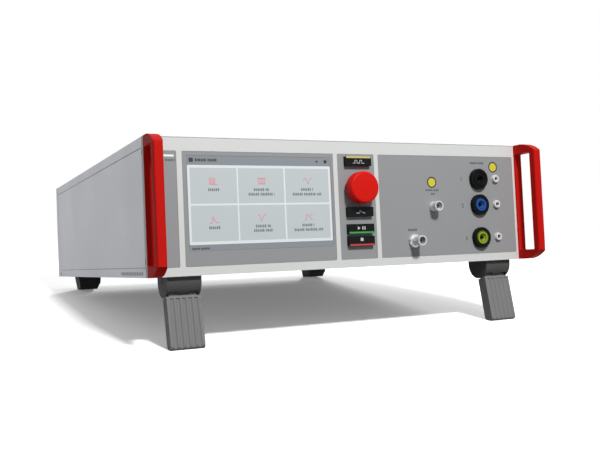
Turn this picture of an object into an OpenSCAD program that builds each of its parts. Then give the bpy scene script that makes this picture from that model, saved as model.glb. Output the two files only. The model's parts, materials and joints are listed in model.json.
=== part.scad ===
// Surge generator: a bench case with a panel set in front, standing on its opened tilt legs.
// Drawn in case millimetres: X right, Y to the back, Z up, zero at the front face and the case bottom.
// standing() tips the case onto legs and rear feet, so the floor is Z = 0.

/* [Case] */
// Width over the side panels
case_w = 449; // [360:1:520]
// Height of the case without its feet
case_h = 132.5; // [120:0.5:160]
// Depth from the front face to the back face
case_d = 515; // [400:1:600]
// Depth of the front frame seen from the side
front_t = 6.5; // [5.5:0.5:9]
// Depth of the rear frame seen from the side
rear_d = 20; // [14:1:30]
// Thickness of the side web
web_t = 2.5; // [2:0.1:3.5]
// Width of the side rails seen from above
rail_w = 12; // [11:0.5:16]
// Thickness of the covers
cover_t = 2; // [1.5:0.1:2.5]
// Clearance round fitted sheets
gap = 0.2; // [0.15:0.05:0.3]

/* [Panels] */
// Height of the lower edge of the grey panels
panel_z0 = 8.5; // [7.5:0.5:12]
// Space from the panels to the top of the case
panel_top = 13.5; // [12:0.5:16]
// Space between two panels
bar_w = 5.1; // [4:0.1:7]
// Space between handle and panel
edge_w = 3.3; // [2.5:0.1:6]
// Width of the strip panel on the left
strip_w = 18.7; // [16:0.1:21]
// Width of the display panel
disp_w = 162.4; // [160:0.1:170]
// Width of the control panel
ctrl_w = 44.2; // [40:0.1:50]
// Thickness of the panels
panel_t = 2; // [1.5:0.1:2.5]
// Ledge behind the panel edges
ledge = 2; // [1.5:0.1:2.5]

/* [Display] */
// Width of the screen glass
glass_w = 155.2; // [140:0.1:156]
// Height of the screen glass
glass_h = 91.7; // [80:0.1:95]
// Height of the middle of the screen
glass_z = 69; // [60:0.5:69]
// Depth of the display module
module_d = 9; // [6:0.5:14]

/* [Keys and dial] */
// Distance of keys and dial from the middle of their panel
key_shift = 1.2; // [0:0.1:1.4]
// Width of a key
key_w = 31; // [28:0.5:31]
// Height of a key
key_h = 9.9; // [9:0.1:11]
// How far a key stands out
key_out = 4; // [2.5:0.1:5]
// Key travel
key_travel = 1.5; // [1:0.1:2]
// Height of the top key
key_test_z = 111.2; // [105:0.1:112]
// Height of the second key
key_pulse_z = 58.1; // [56:0.1:60]
// Height of the third key
key_start_z = 40.2; // [39:0.1:42]
// Height of the lowest key
key_stop_z = 27.4; // [24:0.1:28]
// Diameter of the dial
dial_d = 33.5; // [30:0.5:38]
// How far the dial stands out
dial_out = 16.1; // [12:0.1:18]
// Height of the dial
dial_z = 82.8; // [80:0.1:86]

/* [Output sockets] */
// Sideways place of the large sockets
main_x = 161; // [150:0.5:165]
// Sideways place of the small sockets
sense_x = 185.5; // [182:0.5:198]
// How much higher the small sockets sit than the large ones
sense_up = 0.5; // [0.3:0.1:2]
// How far the small sockets stand out
sense_out = 3.4; // [2:0.1:4.5]
// Height of the upper socket row
row1_z = 93; // [88:0.5:96]
// Height of the middle socket row
row2_z = 63.8; // [60:0.5:66]
// Height of the lower socket row
row3_z = 26.5; // [24:0.5:30]
// Diameter of the socket collar
collar_d = 23.4; // [21:0.1:26]
// How far the collar stands out
collar_out = 4.8; // [3:0.1:6]
// Diameter of the coloured insert
insert_d = 15.4; // [13:0.1:16]
// Bore of the contacts
contact_bore = 4.05; // [4:0.05:4.2]
// Sideways place of the high voltage jack
hv_x = 98.5; // [90:0.5:110]
// Sideways place of the signal jack
sig_x = 71; // [60:0.5:80]
// How far the high voltage jack stands out
hv_out = 11; // [8:0.5:16]
// How far the signal jack stands out
sig_out = 16; // [14:0.5:20]
// Diameter of the jack heads
jack_d = 11; // [10.4:0.1:14]

/* [Handles] */
// Thickness of a handle
handle_t = 9.5; // [8:0.5:12]
// How far a handle stands out
handle_p = 35; // [30:1:45]
// Thickness of the web between handle window and frame
handle_web = 2; // [1.5:0.1:4]
// Depth of the grip
grip_d = 8.5; // [7:0.5:11]
// Height of the upper and lower handle arms
arm_h = 10.8; // [10:0.1:14]
// How much the ends of a handle fall towards the front
handle_r = 10; // [6:0.5:12]
// Where the curved ends of a handle begin
handle_back = 9; // [4:0.5:14]
// Radius of the front edges of a handle
handle_edge = 2; // [1:0.1:3.5]

/* [Feet] */
// Height of the feet with folded legs
foot_h = 20.5; // [19:0.5:24]
// Distance of the feet from the middle
foot_x = 188; // [120:1:192]
// Width of a front foot
foot_w = 34; // [28:1:36]
// How far a front foot reaches under the front frame
foot_fwd = 2; // [0:0.1:2]
// Radius of the front foot round its pin
foot_r = 16.5; // [15:0.5:18]
// Length of a leg from the pin to its end circle
leg_len = 61.7; // [45:0.1:75]
// Thickness of a leg
leg_t = 12.5; // [10:0.5:13]
// Forward lean of an opened leg in degrees
leg_lean = 11.2; // [6:0.1:14]
// Size of a rear foot
rear_foot = 32; // [26:1:36]
// Distance of a rear foot from the back face
rear_foot_in = 18; // [2:0.5:24]

/* [Rear side] */
// Size of the fan
fan_w = 80; // [60:1:92]
// Depth of the fan
fan_d = 25; // [20:1:32]
// Sideways place of the fan
fan_x = -130; // [-150:1:-80]
// Sideways place of the mains inlet
mains_x = 150; // [120:1:170]
// Sideways place of the supply inlet
eut_x = 88; // [60:1:100]

/* [Inside] */
// Thickness of the chassis plate
chassis_t = 2; // [1.5:0.1:3]
// Height of the ledge that carries the chassis plate
chassis_z = 12; // [11:0.5:14]

/* [Hidden] */
$fn = 64;
half = case_w / 2;
panel_z1 = case_h - panel_top;
hx = half - handle_t;
strip_x0 = -hx + edge_w;
strip_x1 = strip_x0 + strip_w;
disp_x0 = strip_x1 + bar_w + 0.4;
disp_x1 = disp_x0 + disp_w;
ctrl_x0 = disp_x1 + bar_w;
ctrl_x1 = ctrl_x0 + ctrl_w;
out_x0 = ctrl_x1 + bar_w;
out_x1 = hx - edge_w + 0.3;
glass_x = (disp_x0 + disp_x1) / 2 + 0.8;
ctrl_x = (ctrl_x0 + ctrl_x1) / 2;
axis_x = ctrl_x + key_shift;
fit = 0.15;
skin = 0.2;
back_y = case_d - rear_d;
screw_x = half - 6;
port_z = 24;
grab_z = 7.6;
grab_x = half - handle_t / 2 - 1.25 * handle_t / 9.5;
lip_w = 22;
lip_t = 3;
sink = 1.3;
cover_x = half - rail_w - gap;
light_w = 14;
light_h = 2;
light_z = panel_z1 - 4.7;
light_x = (strip_x0 + strip_x1) / 2;
board_y = 10;
key_zs = [key_test_z, key_pulse_z, key_start_z, key_stop_z];
flange_h = key_h + 1.1;
rows = [row1_z, row2_z, row3_z];
hv_z = row2_z - 1.2;
sig_z = row3_z - 1;
barrel_r = 9.5;
pin_r = 1.5;
pin_y = front_t + foot_r - foot_fwd;
foot_screw_y = front_t + 3.1;
pin_z = foot_r - foot_h;
cheek = 3;
leg_rear_t = -pin_z - 0.6;
leg_front_t = leg_t - leg_rear_t;
tab_a = 41;
notch_t = leg_front_t - 2.9;
notch_s = leg_front_t / tan(tab_a - 1.5 - leg_lean);
wall_in = notch_t * cos(leg_lean) + notch_s * sin(leg_lean) + 0.25;
tip_r = 4;
tip_y = pin_y - leg_len * sin(leg_lean) - (tip_r - leg_rear_t) * cos(leg_lean);
tip_z = pin_z - leg_len * cos(leg_lean) + (tip_r - leg_rear_t) * sin(leg_lean);
back_edge = case_d - rear_foot_in - 1.5;
span_y = back_edge - tip_y;
span_z = tip_z + foot_h;
tilt = asin(tip_r / norm([span_y, span_z])) - atan2(span_z, span_y);
rise = back_edge * sin(tilt) + foot_h * cos(tilt);
low_y = -handle_p * cos(tilt) + handle_r * sin(tilt);
high_y = case_d * cos(tilt) + case_h * sin(tilt);
panel_in = ledge;
rp_x = half - 11.2;
rp_z0 = 5.2;
rp_y = case_d - 4.7;
rp_t = 2.5;
fan_z = case_h / 2;
inlet_z = case_h / 2;

// The case tips up at the front and its lowest points touch the floor
module standing() {
    translate([0, -(low_y + high_y) / 2, rise]) rotate([-tilt, 0, 0]) children();
}

// Box from one corner to the other
module box(a, b) {
    translate(a) cube([b[0] - a[0], b[1] - a[1], b[2] - a[2]]);
}

// Cylinder along Y from y0 to y1
module ycyl(x, z, y0, y1, r) {
    translate([x, y1, z]) rotate([90, 0, 0]) cylinder(h = y1 - y0, r = r);
}

// Cylinder along X from x0 to x1
module xcyl(x0, x1, y, z, r) {
    translate([x0, y, z]) rotate([0, 90, 0]) cylinder(h = x1 - x0, r = r);
}

// Plate in the front plane with rounded corners, from y0 to y1
module plate(x0, x1, z0, z1, y0, y1, r) {
    union() {
        box([x0 + r, y0, z0], [x1 - r, y1, z1]);
        box([x0, y0, z0 + r], [x1, y1, z1 - r]);
        for (x = [x0 + r, x1 - r]) for (z = [z0 + r, z1 - r]) ycyl(x, z, y0, y1, r);
    }
}

// Screw along Y, head at y0, shank towards +Y for dir 1 and towards -Y for dir -1
module yscrew(x, z, y0, dir, head_r, head_h, r, len) {
    union() {
        if (dir > 0) {
            ycyl(x, z, y0 - head_h, y0, head_r);
            ycyl(x, z, y0 - 0.5, y0 + len, r);
        } else {
            ycyl(x, z, y0, y0 + head_h, head_r);
            ycyl(x, z, y0 - len, y0 + 0.5, r);
        }
    }
}

// Screw along Z with its head on top of z0 and its shank downwards
module zscrew(x, y, z0, head_r, head_h, r, len) {
    difference() {
        union() {
            translate([x, y, z0]) cylinder(h = head_h, r = head_r);
            translate([x, y, z0 - len]) cylinder(h = len + 0.5, r = r);
        }
        translate([x, y, z0 + head_h - 1]) cylinder(h = 2, r = head_r * 0.5, $fn = 6);
    }
}

// Window through the front frame with a ledge that carries one panel
module window(x0, x1) {
    plate(x0, x1, panel_z0, panel_z1, -1, panel_t, 1.2);
    box([x0 + ledge, -1, panel_z0 + panel_in], [x1 - ledge, front_t + 1, panel_z1 - panel_in]);
}

module front_frame() {
    color("#d7d8d4")
    difference() {
        box([-half, 0, 0], [half, front_t, case_h]);
        window(strip_x0, strip_x1);
        window(disp_x0, disp_x1);
        window(ctrl_x0, ctrl_x1);
        window(out_x0, out_x1);
        for (x = [-screw_x, screw_x]) for (z = [port_z, case_h - port_z]) {
            ycyl(x, z, -1, 3.6, 3.6);
            ycyl(x, z, -1, front_t + 1, 2.1);
        }
        for (x = [-grab_x, grab_x]) for (z = [grab_z, case_h - grab_z])
            ycyl(x, z, -1, front_t + 1, 1.6);
        for (s = [-1, 1]) for (z = [15, case_h - 15])
            box([s * half - 1.8, front_t - 2.2, z - 2.5], [s * half + 1.8, front_t + 1, z + 2.5]);
    }
}

// Blank of one panel, a little inside its window
module panel(x0, x1) {
    plate(x0 + fit, x1 - fit, panel_z0 + fit, panel_z1 - fit, skin, panel_t, 1.2);
}

module strip_panel() {
    color("#949698")
    difference() {
        panel(strip_x0, strip_x1);
        box([light_x - light_w / 2 - 0.1, -1, light_z - light_h / 2 - 0.1],
            [light_x + light_w / 2 + 0.1, 5, light_z + light_h / 2 + 0.1]);
    }
}

module status_light() {
    color("#f4f6f4")
    union() {
        box([light_x - light_w / 2, 0, light_z - light_h / 2],
            [light_x + light_w / 2, panel_t + 0.5, light_z + light_h / 2]);
        box([light_x - light_w / 2, panel_t, light_z - 2.2],
            [light_x + light_w / 2, panel_t + 5, light_z + 1.1]);
    }
}

module display_panel() {
    color("#949698")
    difference() {
        panel(disp_x0, disp_x1);
        box([glass_x - glass_w / 2, -1, glass_z - glass_h / 2],
            [glass_x + glass_w / 2, 5, glass_z + glass_h / 2]);
    }
}

module display_glass() {
    color("#b8c2c8")
    box([glass_x - glass_w / 2 + 0.1, skin + 0.1, glass_z - glass_h / 2 + 0.1],
        [glass_x + glass_w / 2 - 0.1, panel_t, glass_z + glass_h / 2 - 0.1]);
}

module display_module() {
    color("#30343a")
    difference() {
        union() {
            box([disp_x0 + ledge + gap, panel_t, glass_z - glass_h / 2 - 2],
                [disp_x1 - ledge - gap, panel_t + module_d, min(glass_z + glass_h / 2 + 1, panel_z1 - panel_in - gap)]);
            box([glass_x - 45, panel_t + module_d - 0.5, glass_z - 30],
                [glass_x + 45, panel_t + module_d + 6, glass_z + 30]);
        }
        for (i = [-3 : 3])
            box([glass_x + i * 11 - 3, panel_t + module_d + 4, glass_z - 22],
                [glass_x + i * 11 + 3, panel_t + module_d + 10, glass_z + 22]);
    }
}

module control_panel() {
    color("#949698")
    difference() {
        panel(ctrl_x0, ctrl_x1);
        for (z = key_zs)
            plate(axis_x - key_w / 2 - 0.2, axis_x + key_w / 2 + 0.2, z - key_h / 2 - 0.2,
                z + key_h / 2 + 0.2, -1, 5, 1);
        ycyl(axis_x, dial_z, -1, 5, 4.6);
    }
}

// Key cap with its flange behind the panel and the stem over the switch
module key(z) {
    difference() {
        union() {
            plate(axis_x - key_w / 2, axis_x + key_w / 2, z - key_h / 2, z + key_h / 2,
                -key_out, panel_t + 0.5, 0.8);
            box([axis_x - key_w / 2 - 0.6, panel_t, z - flange_h / 2],
                [axis_x + key_w / 2 + 0.6, panel_t + 1.2, z + flange_h / 2]);
            ycyl(axis_x, z, panel_t + 1, panel_t + 4, 2);
        }
        for (s = [-1, 1])
            box([axis_x + s * 10 - 4, panel_t - 0.5, z - 3], [axis_x + s * 10 + 4, panel_t + 3, z + 3]);
    }
}

// Strip along the upper edge of a key for s = 1 or the lower one for s = -1, grown it cuts its own slot
module bar(z, s, grow) {
    translate([0, 0, z]) mirror([0, 0, s < 0 ? 1 : 0])
        box([axis_x - key_w / 2 + 0.8 - grow, -key_out - 0.5 - grow, key_h / 2 - 1.9 - grow],
            [axis_x + key_w / 2 - 0.8 + grow, -key_out + 1, key_h / 2 + 10 * grow]);
}

module key_test() {
    color("#1a1a1c")
    difference() {
        key(key_test_z);
        bar(key_test_z, 1, 0.05);
    }
}

module key_pulse() {
    color("#1a1a1c") key(key_pulse_z);
}

module key_start() {
    color("#1a1a1c")
    difference() {
        key(key_start_z);
        bar(key_start_z, -1, 0.05);
    }
}

module key_stop() {
    color("#1a1a1c")
    difference() {
        key(key_stop_z);
        bar(key_stop_z, -1, 0.05);
    }
}

module bar_test() {
    color("#c3be6e") bar(key_test_z, 1, 0);
}

module bar_start() {
    color("#3c9646") bar(key_start_z, -1, 0);
}

module bar_stop() {
    color("#b43c41") bar(key_stop_z, -1, 0);
}

module key_board() {
    color("#2c6b45")
    difference() {
        union() {
            box([ctrl_x0 + ledge + gap, board_y, panel_z0 + panel_in + gap],
                [ctrl_x1 - ledge - gap, board_y + 1.6, panel_z1 - panel_in - gap]);
            for (z = key_zs)
                box([axis_x - 3, panel_t + 4 + key_travel + 0.1, z - 3], [axis_x + 3, board_y + 0.3, z + 3]);
            for (z = [panel_z0 + panel_in + 3, panel_z1 - panel_in - 3])
                for (s = [-1, 1])
                    box([ctrl_x + s * (ctrl_w / 2 - ledge - gap - 1.2) - 1.2, panel_t, z - 1.2],
                        [ctrl_x + s * (ctrl_w / 2 - ledge - gap - 1.2) + 1.2, board_y + 0.3, z + 1.2]);
        }
        box([axis_x - 12, board_y - 1, dial_z - 12], [axis_x + 12, board_y + 5, dial_z + 12]);
    }
}

module encoder() {
    color("#8f9296")
    union() {
        box([axis_x - 11, panel_t, dial_z - 11], [axis_x + 11, panel_t + 14, dial_z + 11]);
        ycyl(axis_x, dial_z, -2.5, panel_t + 0.5, 4.5);
        ycyl(axis_x, dial_z, -dial_out + 3, 0, 3);
    }
}

module knob() {
    color("#de1c14")
    translate([axis_x, 0, dial_z]) rotate([90, 0, 0])
    difference() {
        rotate_extrude()
            polygon([[0, 0.6], [dial_d / 2 - 3, 0.6], [dial_d / 2 - 3, 3.4], [dial_d / 2 - 1.2, 3.6],
                [dial_d / 2, 4.8], [dial_d / 2, dial_out - 2.2], [dial_d / 2 - 0.3, dial_out - 1.25],
                [dial_d / 2 - 0.9, dial_out - 0.6], [dial_d / 2 - 1.9, dial_out - 0.1],
                [dial_d / 2 - 2.8, dial_out], [0, dial_out]]);
        cylinder(h = 3.4, r = 6);
        cylinder(h = dial_out - 2.8, r = 3.05);
    }
}

module output_panel() {
    color("#949698")
    difference() {
        panel(out_x0, out_x1);
        for (z = rows) {
            ycyl(main_x, z, -1, 5, barrel_r + 0.1);
            ycyl(sense_x, z + sense_up, -1, 5, 3.6);
        }
        ycyl(hv_x, hv_z, -1, 5, 4.9);
        ycyl(sig_x, sig_z, -1, 5, 4.9);
    }
}

// Large safety socket: collar, threaded barrel and rear nut
module socket_body(z, bore) {
    difference() {
        union() {
            translate([main_x, skin, z]) rotate([90, 0, 0]) rotate_extrude()
                polygon([[0, 0], [collar_d / 2, 0], [collar_d / 2, collar_out - 0.8],
                    [collar_d / 2 - 0.8, collar_out], [insert_d / 2 + 0.9, collar_out],
                    [insert_d / 2 + 0.1, collar_out - 0.8], [0, collar_out - 0.8]]);
            ycyl(main_x, z, 0, 17, barrel_r);
            translate([main_x, panel_t + 4, z]) rotate([90, 0, 0]) cylinder(h = 4, r = 12.6, $fn = 6);
        }
        ycyl(main_x, z, -9, 15, bore);
        ycyl(main_x, z, 14, 18, 3.25);
    }
}

// Insulating insert that holds one contact tube
module insert(z, r) {
    difference() {
        ycyl(main_x, z, -collar_out + 0.4, 15, r);
        ycyl(main_x, z, -9, -collar_out + 1.9, 4);
        ycyl(main_x, z, -9, -0.4, 2.7);
        ycyl(main_x, z, -0.5, 16, 3.25);
    }
}

module line_socket() {
    color("#1c1d1f")
    union() {
        socket_body(row1_z, insert_d / 2 - 0.4);
        insert(row1_z, insert_d / 2 - 0.1);
    }
}

module neutral_socket() {
    color("#1c1d1f") socket_body(row2_z, insert_d / 2 + 0.05);
}

module neutral_insert() {
    color("#285aa0") insert(row2_z, insert_d / 2);
}

module earth_socket() {
    color("#1c1d1f") socket_body(row3_z, insert_d / 2 + 0.05);
}

module earth_insert() {
    color("#96aa32") insert(row3_z, insert_d / 2);
}

module socket_contacts() {
    color("#c9b26a")
    for (z = rows) {
        difference() {
            union() {
                ycyl(main_x, z, -0.4, 24, 3.2);
                box([main_x - 2.5, 23, z - 0.6], [main_x + 2.5, 31, z + 0.6]);
            }
            ycyl(main_x, z, -1, 20, contact_bore / 2);
        }
        difference() {
            union() {
                ycyl(sense_x, z + sense_up, 0.6, 18, 2.7);
                box([sense_x - 2, 17, z + sense_up - 0.5], [sense_x + 2, 22, z + sense_up + 0.5]);
            }
            ycyl(sense_x, z + sense_up, -1, 16, contact_bore / 2);
        }
    }
}

module sense_sockets() {
    color("#e8e9e6")
    for (row = rows) {
        z = row + sense_up;
        difference() {
            union() {
                translate([sense_x, skin, z]) rotate([90, 0, 0]) rotate_extrude()
                    polygon([[0, 0], [4.6, 0], [4.6, 0.8], [4.2, 0.9], [4.2, sense_out - 0.4],
                        [3.8, sense_out], [0, sense_out]]);
                ycyl(sense_x, z, 0, 14, 3.5);
                translate([sense_x, panel_t + 2.5, z]) rotate([90, 0, 0]) cylinder(h = 2.5, r = 5.6, $fn = 6);
            }
            ycyl(sense_x, z, -5, 0.6, 2.25);
            ycyl(sense_x, z, 0.5, 20, 2.75);
        }
    }
}

// Metal shell of a round jack that stands out by len
module jack(x, z, len) {
    difference() {
        union() {
            ycyl(x, z, -len + 4.5, 12, 4.8);
            ycyl(x, z, -len, -len + 5.2, jack_d / 2);
            translate([x, panel_t + 3, z]) rotate([90, 0, 0]) cylinder(h = 3, r = 7.4, $fn = 6);
        }
        ycyl(x, z, -len - 1, -len + 7, 4.1);
        ycyl(x, z, -len + 6, 13, 3.3);
    }
}

module hv_jack() {
    color("#d4d6d8")
    union() {
        jack(hv_x, hv_z, hv_out);
        difference() {
            ycyl(hv_x, hv_z, -0.6, skin, 5.4);
            ycyl(hv_x, hv_z, -2, 1, 4);
        }
    }
}

module signal_jack() {
    color("#d4d6d8")
    union() {
        jack(sig_x, sig_z, sig_out);
        for (s = [-1, 1])
            xcyl(sig_x + s * 5.2 - 1, sig_x + s * 5.2 + 1, -sig_out + 7.6, sig_z, 1);
    }
}

module signal_nut() {
    color("#e8eaec")
    difference() {
        translate([sig_x, skin, sig_z]) rotate([90, 0, 0]) rotate_extrude()
            polygon([[4.85, 0], [7.2, 0], [7.2, 2.6], [6.2, 3.8], [4.85, 3.8]]);
        for (s = [-1, 1])
            box([sig_x + s * 7 - 0.5, -5, sig_z - 1], [sig_x + s * 7 + 0.5, 1, sig_z + 1]);
    }
}

// Insulator and centre contact of one jack
module jack_core(x, z, len) {
    difference() {
        union() {
            ycyl(x, z, -len + 7.05, 12.5, 3.25);
            ycyl(x, z, -len + 2.5, -len + 8, 2.4);
            ycyl(x, z, 12, 16, 1);
        }
        ycyl(x, z, -len, -len + 7, 1.4);
    }
}

module jack_cores() {
    color("#8e8c86")
    union() {
        jack_core(hv_x, hv_z, hv_out);
        jack_core(sig_x, sig_z, sig_out);
    }
}

// Rectangle with rounded corners in a side view
module soft_rect(u0, u1, v0, v1, r) {
    union() {
        translate([u0 + r, v0]) square([u1 - u0 - 2 * r, v1 - v0]);
        translate([u0, v0 + r]) square([u1 - u0, v1 - v0 - 2 * r]);
        for (u = [u0 + r, u1 - r]) for (v = [v0 + r, v1 - r]) translate([u, v]) circle(r = r);
    }
}

// Side view of a handle: its ends curve down towards the front, its window is open
module handle_side() {
    arc = (pow(handle_p - handle_back, 2) + handle_r * handle_r) / (2 * handle_r);
    difference() {
        translate([-handle_p, 0]) square([handle_p, case_h]);
        for (m = [0, 1]) translate([0, m * case_h]) mirror([0, m])
            difference() {
                translate([-handle_p - 1, -1]) square([handle_p + 1 - handle_back, handle_r + 1]);
                translate([-handle_back, arc]) circle(r = arc);
            }
        soft_rect(-handle_p + grip_d, -handle_web, arm_h, case_h - arm_h, 1.5);
    }
}

// Handle between x0 and x1 with rounded front edges
module handle(x0, x1) {
    r = handle_edge;
    difference() {
        intersection() {
            along_x(x0, x1) handle_side();
            linear_extrude(height = case_h)
                union() {
                    translate([x0, -handle_p + r]) square([x1 - x0, handle_p - r]);
                    translate([x0 + r, -handle_p]) square([x1 - x0 - 2 * r, handle_p]);
                    for (x = [x0 + r, x1 - r]) translate([x, -handle_p + r]) circle(r = r);
                }
        }
        for (z = [grab_z, case_h - grab_z])
            ycyl(x0 < 0 ? -grab_x : grab_x, z, -12.5, 1, 1.55);
    }
}

module handle_left() {
    color("#cd1914") handle(-half, -hx);
}

module handle_right() {
    color("#cd1914") handle(hx, half);
}

module handle_screws() {
    color("#b9bcc0")
    for (s = [-1, 1]) for (z = [grab_z, case_h - grab_z])
        yscrew(s * grab_x, z, front_t, -1, 2.4, 2.4, 1.5, front_t + 11);
}

// Side profile: u runs inwards from the outer face
module side_profile() {
    difference() {
        union() {
            square([web_t, case_h]);
            for (m = [0, 1]) translate([0, m * case_h]) mirror([0, m]) {
                square([rail_w, cover_t + 0.5]);
                translate([0, cover_t]) square([lip_w, lip_t]);
                translate([0, port_z - 4]) square([10, 8]);
            }
            translate([0, chassis_z - 2]) square([9, 2]);
        }
        translate([-1, 1.9]) square([1.7, 4.2]);
        translate([-1, 9]) square([1.8, 0.9]);
        translate([-1, case_h - 10.9]) square([1.8, 0.9]);
        for (z = [port_z, case_h - port_z]) translate([6, z]) circle(r = 1.85);
    }
}

// One side along the case, put in place by s
module side(s) {
    difference() {
        translate([s * half, back_y, 0]) mirror([s > 0 ? 1 : 0, 0, 0]) rotate([90, 0, 0])
            linear_extrude(height = back_y - front_t) side_profile();
        for (i = [0 : 4]) for (z = [cover_t - 0.5, case_h - cover_t - lip_t - 0.5])
            translate([s * (cover_x - 4.5), 30 + i * (back_y - 60) / 4, z]) cylinder(h = lip_t + 1, r = 1.3);
    }
}

module side_left() {
    color("#a5aab0") side(-1);
}

module side_right() {
    color("#a5aab0") side(1);
}

// Cover sheet with sunk screw holes, z0 is its lower face and up says that its outside is above
module cover(z0, up) {
    difference() {
        box([-cover_x, front_t + gap, z0], [cover_x, back_y - gap, z0 + cover_t]);
        for (s = [-1, 1]) for (i = [0 : 4])
            translate([s * (cover_x - 4.5), 30 + i * (back_y - 60) / 4, z0]) {
                translate([0, 0, -1]) cylinder(h = cover_t + 2, r = 1.6);
                translate([0, 0, up ? cover_t - sink : sink - 5]) cylinder(h = 5, r = 3);
            }
    }
}

module top_cover() {
    color("#c9cbcc")
    difference() {
        cover(case_h - cover_t, true);
        for (r = [0 : 1]) for (i = [0 : 13])
            box([-156 + i * 24, back_y - 110 + r * 40, case_h - 5], [-153 + i * 24, back_y - 85 + r * 40, case_h + 1]);
    }
}

module bottom_cover() {
    color("#c9cbcc")
    difference() {
        cover(0, false);
        for (s = [-1, 1]) for (d = [-9, 9]) {
            translate([s * foot_x + d, foot_screw_y, -1]) cylinder(h = 5, r = 1.7);
            translate([s * foot_x + d, back_y - 8, -1]) cylinder(h = 5, r = 1.7);
        }
        for (i = [0 : 13])
            box([-156 + i * 24, 150, -1], [-153 + i * 24, 190, 5]);
    }
}

module case_screws() {
    color("#c4c7ca")
    union() {
        for (s = [-1, 1]) for (i = [0 : 4]) {
            zscrew(s * (cover_x - 4.5), 30 + i * (back_y - 60) / 4, case_h - sink, 2.8, sink - 0.1, 1.25, 4);
            mirror([0, 0, 1])
                zscrew(s * (cover_x - 4.5), 30 + i * (back_y - 60) / 4, -sink, 2.8, sink - 0.1, 1.25, 4);
        }
        for (x = [-rp_x + 4.5, 0, rp_x - 4.5]) for (z = [rp_z0 + 4, case_h - rp_z0 - 4])
            yscrew(x, z, rp_y + rp_t, -1, 2.8, 1.8, 1.25, 8);
    }
}

module frame_screws() {
    color("#b9bcc0")
    for (s = [-1, 1]) for (z = [port_z, case_h - port_z]) {
        yscrew(s * screw_x, z, 3.6, 1, 3.3, 3.2, 1.8, 20);
        yscrew(s * screw_x, z, case_d - 4, -1, 3.3, 3.2, 1.8, rear_d + 14);
    }
}

module rear_frame() {
    color("#d7d8d4")
    difference() {
        box([-half, back_y, 0], [half, case_d, case_h]);
        box([-rp_x + 3.8, back_y - 1, rp_z0 + 8], [rp_x - 3.8, case_d + 1, case_h - rp_z0 - 8]);
        box([-rp_x - 0.2, rp_y, rp_z0 - 0.2], [rp_x + 0.2, case_d + 1, case_h - rp_z0 + 0.2]);
        for (s = [-1, 1]) for (z = [port_z, case_h - port_z]) {
            ycyl(s * screw_x, z, case_d - 4, case_d + 1, 3.6);
            ycyl(s * screw_x, z, back_y - 1, case_d + 1, 2.1);
        }
        for (x = [-rp_x + 4.5, 0, rp_x - 4.5]) for (z = [rp_z0 + 4, case_h - rp_z0 - 4])
            ycyl(x, z, rp_y - 7, rp_y + 1, 1.3);
    }
}

// Grille over the fan: round slots that leave four spokes
module grille() {
    difference() {
        for (r = [10, 17, 24, 31])
            difference() {
                ycyl(fan_x, fan_z, rp_y - 1, rp_y + rp_t + 1, min(r + 4.5, fan_w / 2 - 3));
                ycyl(fan_x, fan_z, rp_y - 2, rp_y + rp_t + 2, r);
            }
        for (a = [45, 135])
            translate([fan_x, rp_y - 3, fan_z]) rotate([0, a, 0]) translate([-60, 0, -2]) cube([120, 9, 4]);
    }
}

module rear_panel() {
    color("#c9cbcc")
    difference() {
        box([-rp_x, rp_y, rp_z0], [rp_x, rp_y + rp_t, case_h - rp_z0]);
        grille();
        box([mains_x - 14.2, rp_y - 1, inlet_z - 28.2], [mains_x + 14.2, rp_y + 5, inlet_z + 28.2]);
        box([eut_x - 14.2, rp_y - 1, inlet_z - 14.2], [eut_x + 14.2, rp_y + 5, inlet_z + 14.2]);
        for (x = [-rp_x + 4.5, 0, rp_x - 4.5]) for (z = [rp_z0 + 4, case_h - rp_z0 - 4])
            ycyl(x, z, rp_y - 1, rp_y + 5, 1.6);
        for (s = [-1, 1]) for (t = [-1, 1])
            ycyl(fan_x + s * (fan_w / 2 - 4.3), fan_z + t * (fan_w / 2 - 4.3), rp_y - 1, rp_y + 5, 2.1);
    }
}

// Six-sided mouth of an inlet, pointed at the back
module inlet_mouth(x, z, w, h, deep) {
    translate([x, rp_y + 8, z]) rotate([90, 0, 0]) linear_extrude(height = deep + 8)
        polygon([[-w / 2, -h / 2], [w / 2, -h / 2], [w / 2, h / 2 - 5], [w / 2 - 5, h / 2],
            [-w / 2 + 5, h / 2], [-w / 2, h / 2 - 5]]);
}

module mains_inlet() {
    color("#232427")
    difference() {
        union() {
            plate(mains_x - 17, mains_x + 17, inlet_z - 31, inlet_z + 31, rp_y + rp_t, rp_y + rp_t + 2, 2);
            box([mains_x - 14, rp_y - 28, inlet_z - 28], [mains_x + 14, rp_y + rp_t + 0.5, inlet_z + 28]);
        }
        inlet_mouth(mains_x, inlet_z - 14, 23, 17.5, 17);
        box([mains_x - 10.3, rp_y - 14, inlet_z + 11.4], [mains_x + 10.3, rp_y + 9, inlet_z + 27]);
        box([mains_x - 11.2, rp_y - 22, inlet_z - 0.7], [mains_x + 11.2, rp_y + 9, inlet_z + 8.7]);
        xcyl(mains_x - 12.5, mains_x + 12.5, rp_y - 2, inlet_z + 19.2, 1.1);
    }
}

module mains_rocker() {
    color("#17181a")
    union() {
        translate([mains_x - 10, 0, 0]) rotate([90, 0, 90]) linear_extrude(height = 20)
            polygon([[rp_y - 3, inlet_z + 13.8], [rp_y + rp_t + 3.8, inlet_z + 13.6],
                [rp_y + rp_t + 2.4, inlet_z + 19.4], [rp_y + rp_t + 2.4, inlet_z + 24.6],
                [rp_y - 3, inlet_z + 24.6]]);
        xcyl(mains_x - 12.3, mains_x + 12.3, rp_y - 2, inlet_z + 19.2, 1);
    }
}

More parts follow.
